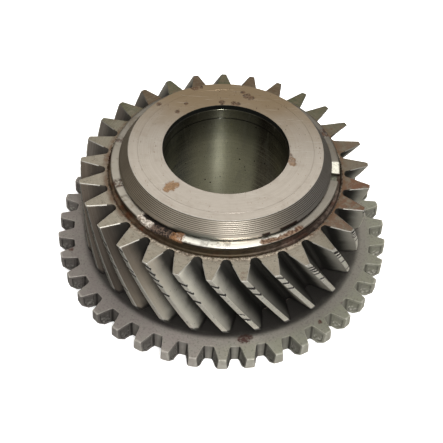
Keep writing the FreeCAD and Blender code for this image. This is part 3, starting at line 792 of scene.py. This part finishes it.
# the same number of columns, evenly spaced, for the hub
th_even = th_in[NU // 2] - (np.arange(NU) - NU // 2) * 2 * math.pi / NU
th_even = th_even + np.mean(th_in - th_even)

rows, strip, nick_rows = [], [], []


def row(th, r, z, mat, nick=None):
    rows.append((th, r, z))
    strip.append(mat)
    nick_rows.append(np.zeros(NU) if nick is None else nick)


def turn(z):
    return math.radians((TOP_Z - z) * TWIST)


# nicks: short dents across the tip lands, at nearly the same heights on every tooth; the materials paint them
# near-black as shade
WIDTH = TOP_Z - BOTTOM_Z
nick_list = []
SEEN_NICKS = {13: [(0.05, 0.40), (0.195, 0.75), (0.29, 0.70)], 14: [(0.15, 0.70), (0.26, 0.75)],
              15: [(0.11, 0.60), (0.235, 0.80), (0.62, 0.22), (0.72, 0.28)], 16: [(0.15, 0.55), (0.26, 0.65), (0.41, 0.30)]}
for k in range(TEETH):
    at = (FIRST_TOOTH - k * 360.0 / TEETH + 10.0) % 360.0 - 360.0      # about where the tooth stands
    if -75 < at < 15:
        base = [(0.085, 0.55), (0.145, 0.70), (0.205, 0.60), (0.275, 0.75)]
        if rng.random() < 0.5:
            base.append((0.40, 0.35))
    else:
        base = [(0.150, 0.42), (0.215, 0.36)] if at > -118 else [(0.170, 0.20), (0.330, 0.16)]
        if rng.random() < 0.5:
            base.append((0.280, 0.28))
    if rng.random() < 0.55:
        base.append((rng.uniform(0.42, 0.50), 0.40))
    if rng.random() < 0.45:
        base.append((rng.uniform(0.03, 0.06), 0.35))
    if rng.random() < 0.5:
        base.append((rng.uniform(0.70, 0.88), 0.30))
    if at <= -118 or at > 0:
        base = [(f, min(d, 0.20)) for f, d in base]
    base = SEEN_NICKS.get(k, base)
    for f, d in base:
        nick_list.append((k, TOP_Z - WIDTH * (f + rng.normal(0, 0.008)), d * rng.uniform(0.95, 1.45), rng.uniform(0.46, 0.66), rng.uniform(-0.50, -0.20)))
nick_arr = np.array(nick_list)


def nicked(th, r, z):
    """Radius with notches cut across the tips, and the notch mask."""
    r = r.copy()
    mask = np.zeros(NU)
    near = nick_arr[np.abs(nick_arr[:, 1] - z) < 1.2]
    for k, zn, depth, w, slope in near:
        sel = (tooth_of == int(k)) & (tipf > 0.45)
        mid = math.radians(FIRST_TOOTH - k * 360.0 / TEETH) + turn(z)
        side = (th[sel] - mid + math.pi) % (2 * math.pi) - math.pi
        zz = zn + slope * side * TIP_R
        g = np.clip(1.25 * np.exp(-((z - zz) / w) ** 2) - 0.25, 0, 1)
        floor_r = TIP_R - depth * g
        cut = np.clip(r[sel] - floor_r, 0, None) * (g > 0)
        r[sel] = r[sel] - cut
        mask[sel] = np.maximum(mask[sel], np.clip(cut / 0.12, 0, 1) * min(1.0, depth / 0.42))
    return r, mask


levels = np.concatenate([
    np.arange(TOP_Z - CH, TOP_Z - 17.0, -0.17),
    np.arange(TOP_Z - 17.0, BOTTOM_Z + 2.2, -0.5),
    np.arange(BOTTOM_Z + 2.1, BOTTOM_Z + CH + 0.05, -0.22),
])


def bevelled(r, z):
    """The lower corner of each tip is bevelled off."""
    return np.minimum(r, TIP_R - np.clip(BOTTOM_Z + 1.5 - z, 0, None) * 0.95)


# outside of the toothed part, downwards
row(th_in, r_in, TOP_Z, M_EDGE)
row(th_full, r_full, TOP_Z - CH, M_FLANK)
for z in levels[1:]:
    th = th_full + turn(z)
    rr, mk = nicked(th, r_full, z)
    soft = wobble(th, z, 11, (3, 5, 8), 0.015)
    row(th, bevelled(rr + soft * (r_full > 50), z), z, M_FLANK, mk)
zb = BOTTOM_Z + CH
row(th_full + turn(zb), bevelled(r_full, zb), zb, M_FLANK)
twb = turn(BOTTOM_Z)
r_low = np.minimum(r_in, TIP_R - 1.5 * 0.95 - 0.1)
row(th_in + twb, r_low, BOTTOM_Z, M_TFACE)


def even(f):
    return th_in + (th_even - th_in) * f


for f in (0.3, 0.65):
    row(even(f) + twb, r_low + (NECK_R - r_low) * f, BOTTOM_Z, M_TFACE)
row(th_even + twb, NECK_R, BOTTOM_Z, M_GROOVE)
row(th_even + twb, NECK_R - 0.05, (BOTTOM_Z + RECESS_Z) / 2, M_GROOVE)
row(th_even + twb, NECK_R, RECESS_Z, M_GROOVE)
row(th_even + twb, REGISTER_R, RECESS_Z, M_GROOVE)
row(th_even + twb, REGISTER_R, RING_Z0 + 0.3, M_EDGE)
row(th_even + twb, REGISTER_R - 0.3, RING_Z0, M_TURN)
row(th_even + twb, (REGISTER_R + FOOT_R) / 2, RING_Z0, M_TURN)
row(th_even + twb, FOOT_R + 0.4, RING_Z0, M_TURN)
row(th_even + twb, FOOT_R, RING_Z0 - 0.3, M_TURN)
row(th_even + twb, FOOT_R, 0.6, M_EDGE)
row(th_even + twb, FOOT_R - 0.6, 0.0, M_TURN)
row(th_even + twb, 36.0, 0.0, M_TURN)
row(th_even + twb, 32.0, 0.0, M_TURN)
row(th_even + twb, SLEEVE_R + 0.6, 0.0, M_EDGE)
row(th_even + twb, SLEEVE_R, 0.6, M_BORE)
seat = np.linspace(0.6, SLEEVE_Z1, 26)
for i, z in enumerate(seat[1:], 1):
    row(th_even + twb * (1 - i / 25.0), SLEEVE_R, z, M_BORE)
row(th_even, BORE_R + 0.06, SLEEVE_Z1, M_GROOVE)
row(th_even, BORE_R, SLEEVE_Z1 + 0.06, M_BORE)
for z in np.linspace(SLEEVE_Z1 + 0.06, LEAD_Z - 0.10, 9)[1:]:
    row(th_even, BORE_R, z, M_BORE)
row(th_even, BORE_R, LEAD_Z - 0.10, M_BORE)
row(th_even, LEAD_R - 0.03, LEAD_Z, M_MOUTH)
row(th_even, LEAD_R - 0.01, LEAD_Z + 1.1, M_MOUTH)
row(th_even, LEAD_R, HEIGHT - 0.10, M_MOUTH)
row(th_even, LEAD_R + 0.10, HEIGHT, M_TURN)
for r in np.linspace(LEAD_R + 0.10, JOURNAL_R - 0.05, 12)[1:-1]:
    row(th_even, r, HEIGHT, M_TURN)
row(th_even, JOURNAL_R - 0.05, HEIGHT, M_TURN)
row(th_even, JOURNAL_R, HEIGHT - 0.06, M_GROOVE)
row(th_even, JOURNAL_R, HEIGHT - 4.0, M_GROOVE)
row(th_even, JOURNAL_R, COLLAR_Z, M_GROOVE)
row(th_even, 40.0, COLLAR_Z, M_GROOVE)
row(th_even, COLLAR_R - 0.2, COLLAR_Z, M_GROOVE)
row(th_even, COLLAR_R, COLLAR_Z - 0.2, M_GROOVE)
for z in np.linspace(COLLAR_Z - 0.2, GROOVE_Z + 0.6, 8)[1:]:
    row(th_even, COLLAR_R + wobble(th_even, z, 5, (9, 17, 31, 47), 0.04), z, M_GROOVE)
row(th_even, COLLAR_R + 0.12, GROOVE_Z + 0.3, M_GROOVE)
row(th_even, COLLAR_R + 0.40, GROOVE_Z + 0.05, M_GROOVE)
row(th_even, 46.2, GROOVE_Z + wobble(th_even, 0, 7, (13, 29, 41), 0.04), M_GROOVE)
row(th_even, 46.65, GROOVE_Z + 0.05, M_GROOVE)
row(th_even, 46.85, GROOVE_Z + 0.35, M_GROOVE)
# rounded, chipped outer lip of the groove
lip = wobble(th_even, 0, 21, (23, 37, 61, 83, 101, 127, 171, 233), 0.11)
chip = np.clip(wobble(th_even, 0, 22, (19, 43, 71, 113, 167, 251), 1.0) - 0.9, 0, 1.0) * 0.30
for r, dz, k in ((46.98, 0.78, 0.4), (47.08, 0.55, 0.7), (47.22, 0.34, 1.0), (47.42, 0.16, 1.0), (47.66, 0.05, 0.9), (47.92, 0.0, 0.6)):
    row(th_even, r + lip * k + chip * k, TOP_Z - dz - chip * 0.6 * k, M_GROOVE if dz > 0.1 else M_TFACE)
for f in (0.20, 0.45, 0.75):
    base_r = 48.05
    row(even(1 - f), base_r + (r_in - base_r) * f, TOP_Z, M_TFACE)

verts = polar_rows(rows)
quads = torus_quads(len(rows), NU)
mat_index = np.repeat(np.array(strip), NU)
# tip lands take the tip-land finish, bare metal with painted light and shade
tip_cols = (tipf > 0.5) & (np.roll(tipf, -1) > 0.5)
mi = mat_index.reshape(len(rows), NU)
for i, s in enumerate(strip):
    if s == M_FLANK:
        mi[i, tip_cols] = M_LAND
root_cols = (r_full < 51.2) & (np.roll(r_full, -1) < 51.2)
mi[0, root_cols] = M_FLANK
gear = build("helical_gear_body", verts, quads, gear_mats, mi.ravel(), sharp=30)
# how brown each tooth's end face is (0 olive, 1 brown)
browned = {1: 1.0, 2: 0.9, 5: 0.5, 6: 0.45, 7: 0.15, 8: 1.0, 9: 0.9, 10: 0.75, 11: 0.6, 26: 0.9, 28: 1.0}
tint_row = np.array([browned.get(int(k), 0.1) for k in tooth_of])
att = gear.data.attributes.new("tint", "FLOAT", "POINT")
att.data.foreach_set("value", np.tile(tint_row, len(rows)).astype(np.float32))
att = gear.data.attributes.new("nick", "FLOAT", "POINT")
att.data.foreach_set("value", np.concatenate(nick_rows).astype(np.float32))
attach(gear, "root")
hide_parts("helical_gear")


# ------------------------------------------------------------------ plain revolved pieces
def lathe(name, profile, mats, cols=720, sharp=30, start=0.0):
    """profile: (r, z, material, [attribute]) running round the closed section."""
    th = np.linspace(0, 2 * math.pi, cols, endpoint=False) + start
    rws, idx, at = [], [], []
    for p in profile:
        r, z, m = p[:3]
        rws.append((th, r, z))
        idx.append(m)
        at.append(np.full(cols, p[3] if len(p) > 3 else 0.0))
    ob = build(name, polar_rows(rws), torus_quads(len(rws), cols), mats, np.repeat(np.array(idx), cols), sharp=sharp)
    return ob, np.concatenate(at)


# bore sleeve
prof = [(BORE_R + 0.5, SLEEVE_Z0, 1)]
prof += [(r, SLEEVE_Z0, 1) for r in (26.4, 27.2)]
prof += [(SLEEVE_R - 0.2, SLEEVE_Z0, 0), (SLEEVE_R, SLEEVE_Z0 + 0.4, 0), (SLEEVE_R, 24.0, 0), (SLEEVE_R, SLEEVE_Z1, 0),
         (26.5, SLEEVE_Z1, 0), (BORE_R + 0.10, SLEEVE_Z1, 0)]
zs = np.linspace(SLEEVE_Z1 - 0.10, SLEEVE_Z0 + 0.5, 40)
prof += [(BORE_R, z, 0) for z in zs]
prof = prof[::-1]
sleeve, _ = lathe("bore_sleeve_body", prof[::-1], [gear_mats[M_BORE], gear_mats[M_EDGE]], 720)
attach(sleeve, "root")
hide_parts("bore_sleeve")

# friction cone ring: section upwards along the cone, then inwards over the top
cone_mat = cone_finish()
prof = [(JOURNAL_R, HEIGHT - 0.06, 1), (JOURNAL_R, 50.0, 1), (JOURNAL_R, COLLAR_Z, 1),
        (38.0, COLLAR_Z, 1), (SPIGOT_R, COLLAR_Z, 1), (SPIGOT_R, CONE_LIP_Z, 1),
        (CONE_BASE_R - 0.1, CONE_LIP_Z, 0, 0.4), (CONE_BASE_R + 0.05, CONE_LIP_Z + 0.15, 0, 0.15),
        (CONE_BASE_R + 0.05, CONE_BASE_Z - 0.05, 0, 0.15), (CONE_BASE_R - 0.10, CONE_BASE_Z + 0.05, 0, 0.3),
        (CONE_BASE_R - 0.20, CONE_BASE_Z + 0.16, 0, 0.3), (CONE_BASE_R - 0.25, CONE_BASE_Z + 0.32, 0, 0.2)]
GROOVES = 8
slope = (CONE_BASE_R - CONE_TOP_R) / (HEIGHT - CONE_BASE_Z)
pitch_z = 0.607
z1 = HEIGHT - 0.14


def cone_r(z):
    return CONE_BASE_R - slope * (z - CONE_BASE_Z)


for i in range(1, GROOVES + 1):
    zg = HEIGHT - 0.32 - pitch_z * (GROOVES - i)
    w = 0.165
    if i > 1:
        for f in (0.36, 0.5, 0.64):
            prof.append((cone_r(zg - pitch_z * (1 - f)), zg - pitch_z * (1 - f), 0, 0.0))
    prof += [(cone_r(zg - w) - 0.01, zg - w, 0, 0.35), (cone_r(zg - w * 0.5) - 0.16, zg - w * 0.5, 0, 0.95),
             (cone_r(zg) - 0.22, zg, 0, 1.0), (cone_r(zg + w * 0.5) - 0.16, zg + w * 0.5, 0, 0.95),
             (cone_r(zg + w) - 0.01, zg + w, 0, 0.35)]
prof += [(cone_r(HEIGHT - 0.10), HEIGHT - 0.10, 0, 0.0), (CONE_TOP_R - 0.08, HEIGHT, 2)]
prof += [(r, HEIGHT, 2) for r in (37.6, 36.5, 35.6)]
prof += [(JOURNAL_R + 0.05, HEIGHT, 2)]
# chamfer strip at the rim takes the edge finish: bare metal with painted light and shade
prof = [tuple(p) for p in prof]
cone, deep = lathe("friction_cone_body", [(*p[:2], 3 if abs(p[1] - (HEIGHT - 0.10)) < 1e-6 else p[2], *(p[3:])) for p in prof],
                   [cone_mat, gear_mats[M_GROOVE], gear_mats[M_TURN], gear_mats[M_EDGE]], 900, sharp=24)
att = cone.data.attributes.new("deep", "FLOAT", "POINT")
att.data.foreach_set("value", deep.astype(np.float32))
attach(cone, "root")
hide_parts("friction_cone_ring")

# split retaining ring
half = math.asin(SNAP_GAP / 2 / 44.0)
n_around = 900
th = np.linspace(half, 2 * math.pi - half, n_around) + math.radians(SNAP_ANGLE)
section = [(SNAP_IN, COLLAR_Z + 0.15), (SNAP_IN + 0.15, COLLAR_Z), (43.0, COLLAR_Z), (44.6, COLLAR_Z), (SNAP_OUT - 0.3, COLLAR_Z),
           (SNAP_OUT - 0.06, COLLAR_Z + 0.12), (SNAP_OUT, COLLAR_Z + 0.4), (SNAP_OUT, SNAP_Z - 0.55), (SNAP_OUT - 0.06, SNAP_Z - 0.28),
           (SNAP_OUT - 0.22, SNAP_Z - 0.08), (SNAP_OUT - 0.45, SNAP_Z), (45.0, SNAP_Z), (44.4, SNAP_Z), (43.8, SNAP_Z), (43.2, SNAP_Z),
           (42.7, SNAP_Z), (42.2, SNAP_Z), (SNAP_IN + 0.2, SNAP_Z), (SNAP_IN, SNAP_Z - 0.2)]
ns = len(section)
deg = (np.degrees(th) + 180.0) % 360.0 - 180.0


def stretch(a0, a1, soft=2.0):
    lo = 1 / (1 + np.exp(-(deg - a0) / soft * 4))
    hi = 1 / (1 + np.exp((deg - a1) / soft * 4))
    return lo * hi


pit_a = np.clip(stretch(-134, -112, 1.0) + 0.35 * stretch(-71, -47, 1.5) + 0.8 * stretch(166.5, 170.5, 0.8)
                + 0.85 * stretch(-162, -156.5, 0.8) + 0.9 * stretch(22, 28, 0.8) + 0.35 * stretch(-100, -96, 1.0)
                + 0.4 * stretch(60, 74, 2.0) + 0.3 * stretch(110, 118, 2.0), 0, 1)
rust_a = np.clip(stretch(-118, -108.5, 0.8) + 0.5 * stretch(-150, -146, 1.0), 0, 1)
g = np.random.default_rng(5)
P = np.zeros((n_around, ns, 3))
pit_v = np.zeros((n_around, ns))
rust_v = np.zeros((n_around, ns))
rough_a = sum(np.sin(k * th + g.uniform(0, 6.28)) * g.uniform(0.4, 1) for k in (37, 61, 97, 149, 211, 263)) / 3.0
for j, (r, z) in enumerate(section):
    ph = sum(np.sin(k * th + g.uniform(0, 6.28)) for k in (83, 131, 197, 271)) / 3.0
    up = 1.0 if z > COLLAR_Z + 0.3 else 0.0
    outer = 1.0 if r > 45.4 else 0.0
    eat = (pit_a + 0.6 * rust_a) * up * (0.10 + 0.09 * ph + 0.05 * rough_a)
    rr = r - outer * (pit_a * (0.10 + 0.10 * rough_a)) + outer * 0.62 * stretch(-132.5, -121.0, 3.0)
    if r < 43.0 and up:
        rr = r + stretch(-133, -112, 2.0) * (0.5 + 0.2 * rough_a) * (1.0 if j >= 15 else 0.4)
    zz = z - np.clip(eat, 0, 0.35)
    if up and j >= 16:
        zz = zz - 0.5 * stretch(-133, -112, 2.0)
    P[:, j] = np.stack([rr * np.cos(th), rr * np.sin(th), np.broadcast_to(zz, th.shape)], -1)
    pit_v[:, j] = pit_a
    rust_v[:, j] = rust_a * (1.0 if r > 43.3 else 0.5)
V = P.reshape(-1, 3)
i = np.arange(n_around - 1)[:, None]
j = np.arange(ns)[None, :]
j1 = (j + 1) % ns
Q = np.stack([i * ns + j, (i + 1) * ns + j, (i + 1) * ns + j1, i * ns + j1], -1).reshape(-1, 4)
c0, c1 = len(V), len(V) + 1
V = np.vstack([V, P[0].mean(0), P[-1].mean(0)])
T = []
for k in range(ns):
    k1 = (k + 1) % ns
    T.append((c0, k, k1))
    T.append((c1, (n_around - 1) * ns + k1, (n_around - 1) * ns + k))
snap = build("split_ring_body", V, Q, [snap_finish()], None, T, sharp=35)
for nm, arr in (("pit", pit_v), ("rust", rust_v)):
    a_ = snap.data.attributes.new(nm, "FLOAT", "POINT")
    a_.data.foreach_set("value", np.concatenate([arr.ravel(), [0, 0]]).astype(np.float32))
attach(snap, "root")
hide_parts("split_retaining_ring")

# ------------------------------------------------------------------ straight-tooth ring
ROOT_T, ROOT_B, BEVEL = 63.5, 64.3, 0.17


def ramp(v, a, b):
    t = min(1.0, max(0.0, (v - a) / (b - a)))
    return t * t * (3 - 2 * t)


def dog_outline(z):
    """One dog from gap middle to gap middle at height z: angle, radius, edge wear and highlight, pocket depth share
    and painted shade in the pocket rims and gap corners.
    """
    t = (z - RING_Z0) / (RING_Z1 - RING_Z0)
    r0 = ROOT_B + (ROOT_T - ROOT_B) * t
    w0 = 3.2 + 0.7 * t
    w1 = 7.3 + 1.2 * t
    # tip radius, with the chamfer under it and the bevel over it
    if z < 3.4:
        rt = 68.0 + (70.3 - 68.0) * max(0.0, (z - RING_Z0)) / 2.2
    else:
        rt = 70.3 + (70.2 - 70.3) * (z - 3.4) / (RING_Z1 - 0.25 - 3.4)
    over = max(0.0, z - (RING_Z1 - BEVEL)) / BEVEL
    rt -= 0.24 * over**1.6
    widen = 0.14 * over**1.6
    slope_w = (w1 - w0) / 2 / (70.3 - r0)
    # relief pocket in the flanks
    pocket = 0.46 * ramp(z, RING_Z1 - 1.15, RING_Z1 - 1.45) * ramp(z, 2.3, 3.0)
    pitch = 2 * math.pi / DOGS
    pts = []
    # gap floor and its corner
    f = 0.55
    for q in (0.0, 0.5, 1.0):
        pts.append(((w0 / 2 - f) * q, r0 - widen * 0.5, 0.0, 0.0, 0.35 * q))
    for q in (0.35, 0.7, 1.0):
        ang = q * math.pi / 2
        pts.append((w0 / 2 - f + f * math.sin(ang) + widen * q, r0 + f * (1 - math.cos(ang)) - widen * 0.5 * (1 - q), 0.0, 0.0, 1.0))
    inner = [r0 + 0.85, r0 + 1.15, r0 + 1.27, r0 + 1.39]
    outer = [rt - 1.75, rt - 1.45, rt - 1.2, rt - 0.95, rt - 0.26]
    mid = [inner[-1] + (outer[0] - inner[-1]) * q for q in (0.2, 0.4, 0.6, 0.8)]
    for y in inner + mid + outer:
        x = w0 / 2 + slope_w * (y - r0)
        share = ramp(y, r0 + 1.12, r0 + 1.40) * ramp(y, rt - 1.0, rt - 1.8)
        sunk = pocket / 0.46 * share
        rim = 4 * sunk * (1 - sunk)
        # painted shade near the gap floor
        soot = 0.45 * ramp(y, r0 + 1.5, r0 + 0.9)
        pts.append((x + pocket * share + widen, y, over * 0.6, share * (pocket > 0.01), max(rim, soot, 0.35 * sunk)))
    out = [(math.atan2(x, y), math.hypot(x, y), e, k, d) for x, y, e, k, d in pts]
    a_last = out[-1][0]
    room = pitch / 2 - a_last
    for q, dr, e in ((0.09, 0.16, 1.0), (0.22, 0.23, 1.0), (0.5, 0.26, 0.5), (0.75, 0.26, 0.2), (1.0, 0.26, 0.2)):
        out.append((a_last + room * q, rt - 0.26 + dr, max(e * 0.8, over * 0.6), 0.0, 0.0))
    cols = []
    for c in range(5):
        v = np.array([o[c] for o in out])
        if c == 0:
            v = v - pitch / 2
        cols.append(np.concatenate([v, -v[-2:0:-1] if c == 0 else v[-2:0:-1]]))
    return cols


def dog_columns(z):
    ang, rad, ed, pk, so = dog_outline(z)
    k = np.arange(DOGS)[:, None]
    th = math.radians(FIRST_DOG) + k * 2 * math.pi / DOGS + ang[None, :]
    return th.ravel(), np.tile(rad, DOGS), np.tile(ed, DOGS), np.repeat(np.arange(DOGS), len(ang)), np.tile(pk, DOGS), np.tile(so, DOGS)


drows, dedge, drecess_shade = [], [], []
zl = np.concatenate([RING_Z1 - BEVEL * (1 - np.cos(np.linspace(0, 1, 5) * math.pi / 2)), RING_Z1 - np.array([0.5, 0.85, 1.13, 1.25, 1.37, 1.5]),
                     np.arange(RING_Z1 - 1.8, 3.7, -0.33), [3.4, 3.1, 2.85, 2.6, 2.3, 1.9, 1.55, RING_Z0 + 0.12, RING_Z0]])
th_top, r_top, e_top, dog_of, _, _ = dog_columns(RING_Z1)
lean = np.random.default_rng(3).normal(0, 0.0012, DOGS)[dog_of]
grow = np.random.default_rng(4).normal(0, 0.06, DOGS)[dog_of]
NB = len(th_top)
cell = np.random.default_rng(12)
lump_k = cell.uniform(2.0, 7.0, (5, 3))
lump_p = cell.uniform(0, 6.28, (5, 3))


def lumps(th, r, z):
    """Irregular raised metal left in the lower half of the relief pockets."""
    v = 0
    for (ka, kr, kz), (pa, pr, pz) in zip(lump_k, lump_p):
        v = v + np.sin(th * 60.0 * ka / 4 + pa) * np.sin(r * kr * 0.8 + pr) * np.sin(z * kz * 0.6 + pz)
    return v


def drow(th, r, z, e=None, soot=None):
    drows.append((th, np.broadcast_to(r, th.shape), np.broadcast_to(z, th.shape)))
    drecess_shade.append(np.zeros(NB) if soot is None else soot)
    dedge.append(np.zeros(NB) if e is None else e)


drow(th_top, REGISTER_R, RING_Z0 + 0.3)
drow(th_top, REGISTER_R, RECESS_Z)
drow(th_top, 50.0, RECESS_Z)
drow(th_top, 54.0, RECESS_Z)
for q in np.linspace(0, 1, 14):
    drow(th_top, RECESS_R - 2.6 + 3.6 * q, RECESS_Z + (RING_Z1 - RECESS_Z) * q * q * (3 - 2 * q))
dent = wobble(th_top, 0, 31, (11, 19, 43, 67), 0.02)
inner_r = RECESS_R + 1.0
for f in (0.2, 0.4, 0.6, 0.8, 0.93):
    rr = inner_r + (r_top - inner_r) * f
    drow(th_top + lean * f, rr, RING_Z1 + dent, None)
for i_, z in enumerate(zl):
    t_, r_, e_, _, pk_, so_ = dog_columns(z)
    body = np.clip((r_ - 64.5) / 3.0, 0, 1)
    e_row = e_ * (1.0 if z > RING_Z1 - 0.4 else 0.45)
    if i_ == 0:
        e_row = np.maximum(e_row, 0.4)
    low = ramp(z, 6.2, 4.2) * ramp(z, 1.6, 2.6)
    # raised metal moves the flank out of the tooth, towards the gap middle
    gap_mid = np.round((t_ - math.radians(FIRST_DOG)) / (2 * math.pi / DOGS) - 0.5) + 0.5
    side = np.sign(t_ - (math.radians(FIRST_DOG) + gap_mid * 2 * math.pi / DOGS))
    raise_ = np.clip(lumps(t_, r_, z) - 0.15, 0, 1.2) * 0.42 * low * pk_
    drow(t_ + lean * body - side * raise_ / 67.0, r_ + grow * body + wobble(t_, z, 33, (71, 113, 157), 0.02), z, np.maximum(e_row, np.clip(raise_ * 4.0, 0, 1)), so_ * ramp(z, RING_Z1 - 0.12, RING_Z1 - 0.5))
t_, r_, _, _, _, _ = dog_columns(RING_Z0)
for f in (0.85, 0.5, 0.2):
    drow(t_, 54.0 + (r_ - 54.0) * f, RING_Z0)
drow(t_, 54.0, RING_Z0)
drow(t_, REGISTER_R + 0.3, RING_Z0)
verts = polar_rows(drows)
quads = torus_quads(len(drows), NB)[:, ::-1]
dog = build("straight_tooth_body", verts, quads, [dog_finish()], None, sharp=38)
att = dog.data.attributes.new("edge", "FLOAT", "POINT")
att.data.foreach_set("value", np.concatenate(dedge).astype(np.float32))
att = dog.data.attributes.new("soot", "FLOAT", "POINT")
att.data.foreach_set("value", np.concatenate(drecess_shade).astype(np.float32))
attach(dog, "root")
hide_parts("straight_tooth_ring")


def outward(ob):
    """Turn a closed mesh's faces outwards when its signed volume is negative."""
    me = ob.data
    me.calc_loop_triangles()
    co = np.zeros(len(me.vertices) * 3, np.float32)
    me.vertices.foreach_get("co", co)
    co = co.reshape(-1, 3).astype(float)
    tri = np.zeros(len(me.loop_triangles) * 3, np.int32)
    me.loop_triangles.foreach_get("vertices", tri)
    tri = tri.reshape(-1, 3)
    vol = np.einsum("ij,ij->i", co[tri[:, 0]], np.cross(co[tri[:, 1]], co[tri[:, 2]])).sum() / 6
    if vol < 0:
        me.flip_normals()
    print(ob.name, "volume mm3 %.0f" % (abs(vol) * 1e9), "flipped" if vol < 0 else "", "faces", len(me.polygons))


for ob in (gear, sleeve, cone, snap, dog):
    outward(ob)

# ------------------------------------------------------------------ floor, light
me = bpy.data.meshes.new("floor")
S = 12.0
me.from_pydata([(-S, -S, 0), (S, -S, 0), (S, S, 0), (-S, S, 0)], [], [(0, 1, 2, 3)])
floor = bpy.data.objects.new("floor", me)
bpy.context.scene.collection.objects.link(floor)
n = Nodes("floor_white")
floor.data.materials.append(n.finish((0.93, 0.93, 0.93), 0.0, 0.9))
n.bsdf.inputs["Emission Color"].default_value = (1, 1, 1, 1)
n.bsdf.inputs["Emission Strength"].default_value = 0.55
floor.location.z = -0.0002
floor.visible_glossy = False


def softbox(name, az, el, dist, size, power, color=(1, 1, 1), aim=(0, 0, 0.03), glossy=True, diffuse=True):
    d = bpy.data.lights.new(name, "AREA")
    d.shape = "RECTANGLE"
    d.size, d.size_y = size
    d.energy = power
    d.color = color
    o = bpy.data.objects.new(name, d)
    bpy.context.scene.collection.objects.link(o)
    a, e = math.radians(az), math.radians(el)
    pos = Vector((math.cos(a) * math.cos(e), math.sin(a) * math.cos(e), math.sin(e))) * dist
    o.location = pos
    o.rotation_euler = (Vector(aim) - pos).to_track_quat("-Z", "Y").to_euler()
    o.visible_glossy = glossy
    o.visible_diffuse = diffuse
    return o


# area light radiance = power / (pi * area)
softbox("window", -76.5, 46, 1.5, (0.055, 0.55), 11.5)
softbox("front", -88, 34, 1.6, (1.5, 0.55), 1.6)
softbox("ceiling", 90, 61, 1.2, (1.5, 0.70), 5.2, (1.0, 0.985, 0.95))
softbox("side", 8, 12, 1.3, (0.8, 0.45), 0.9)
softbox("fill", -60, 66, 1.5, (1.0, 1.0), 14.0, glossy=False)

world = bpy.data.worlds.new("world")
bpy.context.scene.world = world
world.use_nodes = True
wt = world.node_tree
bg = wt.nodes["Background"]
tc = wt.nodes.new("ShaderNodeTexCoord")
sp = wt.nodes.new("ShaderNodeSeparateXYZ")
wt.links.new(tc.outputs["Generated"], sp.inputs[0])


def ramp_node(stops, source):
    r_ = wt.nodes.new("ShaderNodeValToRGB")
    el = r_.color_ramp.elements
    while len(el) < len(stops):
        el.new(0.5)
    for q_, (p_, c_) in zip(el, stops):
        q_.position = p_
        q_.color = (*c_, 1)
    wt.links.new(source, r_.inputs[0])
    return r_


up = wt.nodes.new("ShaderNodeMath")
up.operation = "MULTIPLY_ADD"
wt.links.new(sp.outputs[2], up.inputs[0])
up.inputs[1].default_value = 0.5
up.inputs[2].default_value = 0.5
near = ramp_node([(0.0, (0.10, 0.095, 0.08)), (0.40, (0.22, 0.21, 0.185)), (0.50, (0.42, 0.40, 0.37)), (0.60, (0.55, 0.53, 0.49)),
                  (0.75, (0.36, 0.34, 0.31)), (1.0, (0.34, 0.33, 0.31))], up.outputs[0])
far = ramp_node([(0.0, (0.10, 0.095, 0.08)), (0.40, (0.19, 0.18, 0.155)), (0.50, (0.28, 0.26, 0.22)), (0.62, (0.30, 0.27, 0.22)),
                 (0.78, (0.28, 0.25, 0.20)), (1.0, (0.34, 0.33, 0.31))], up.outputs[0])
side = wt.nodes.new("ShaderNodeMapRange")
wt.links.new(sp.outputs[1], side.inputs[0])
side.inputs[1].default_value = -0.35
side.inputs[2].default_value = 0.45
mixw = wt.nodes.new("ShaderNodeMix")
mixw.data_type = "RGBA"
wt.links.new(side.outputs[0], mixw.inputs[0])
wt.links.new(near.outputs[0], mixw.inputs[6])
wt.links.new(far.outputs[0], mixw.inputs[7])
wt.links.new(mixw.outputs[2], bg.inputs[0])
bg.inputs[1].default_value = 1.0
bpy.context.scene.view_settings.view_transform = "Standard"
bpy.context.scene.view_settings.look = "None"
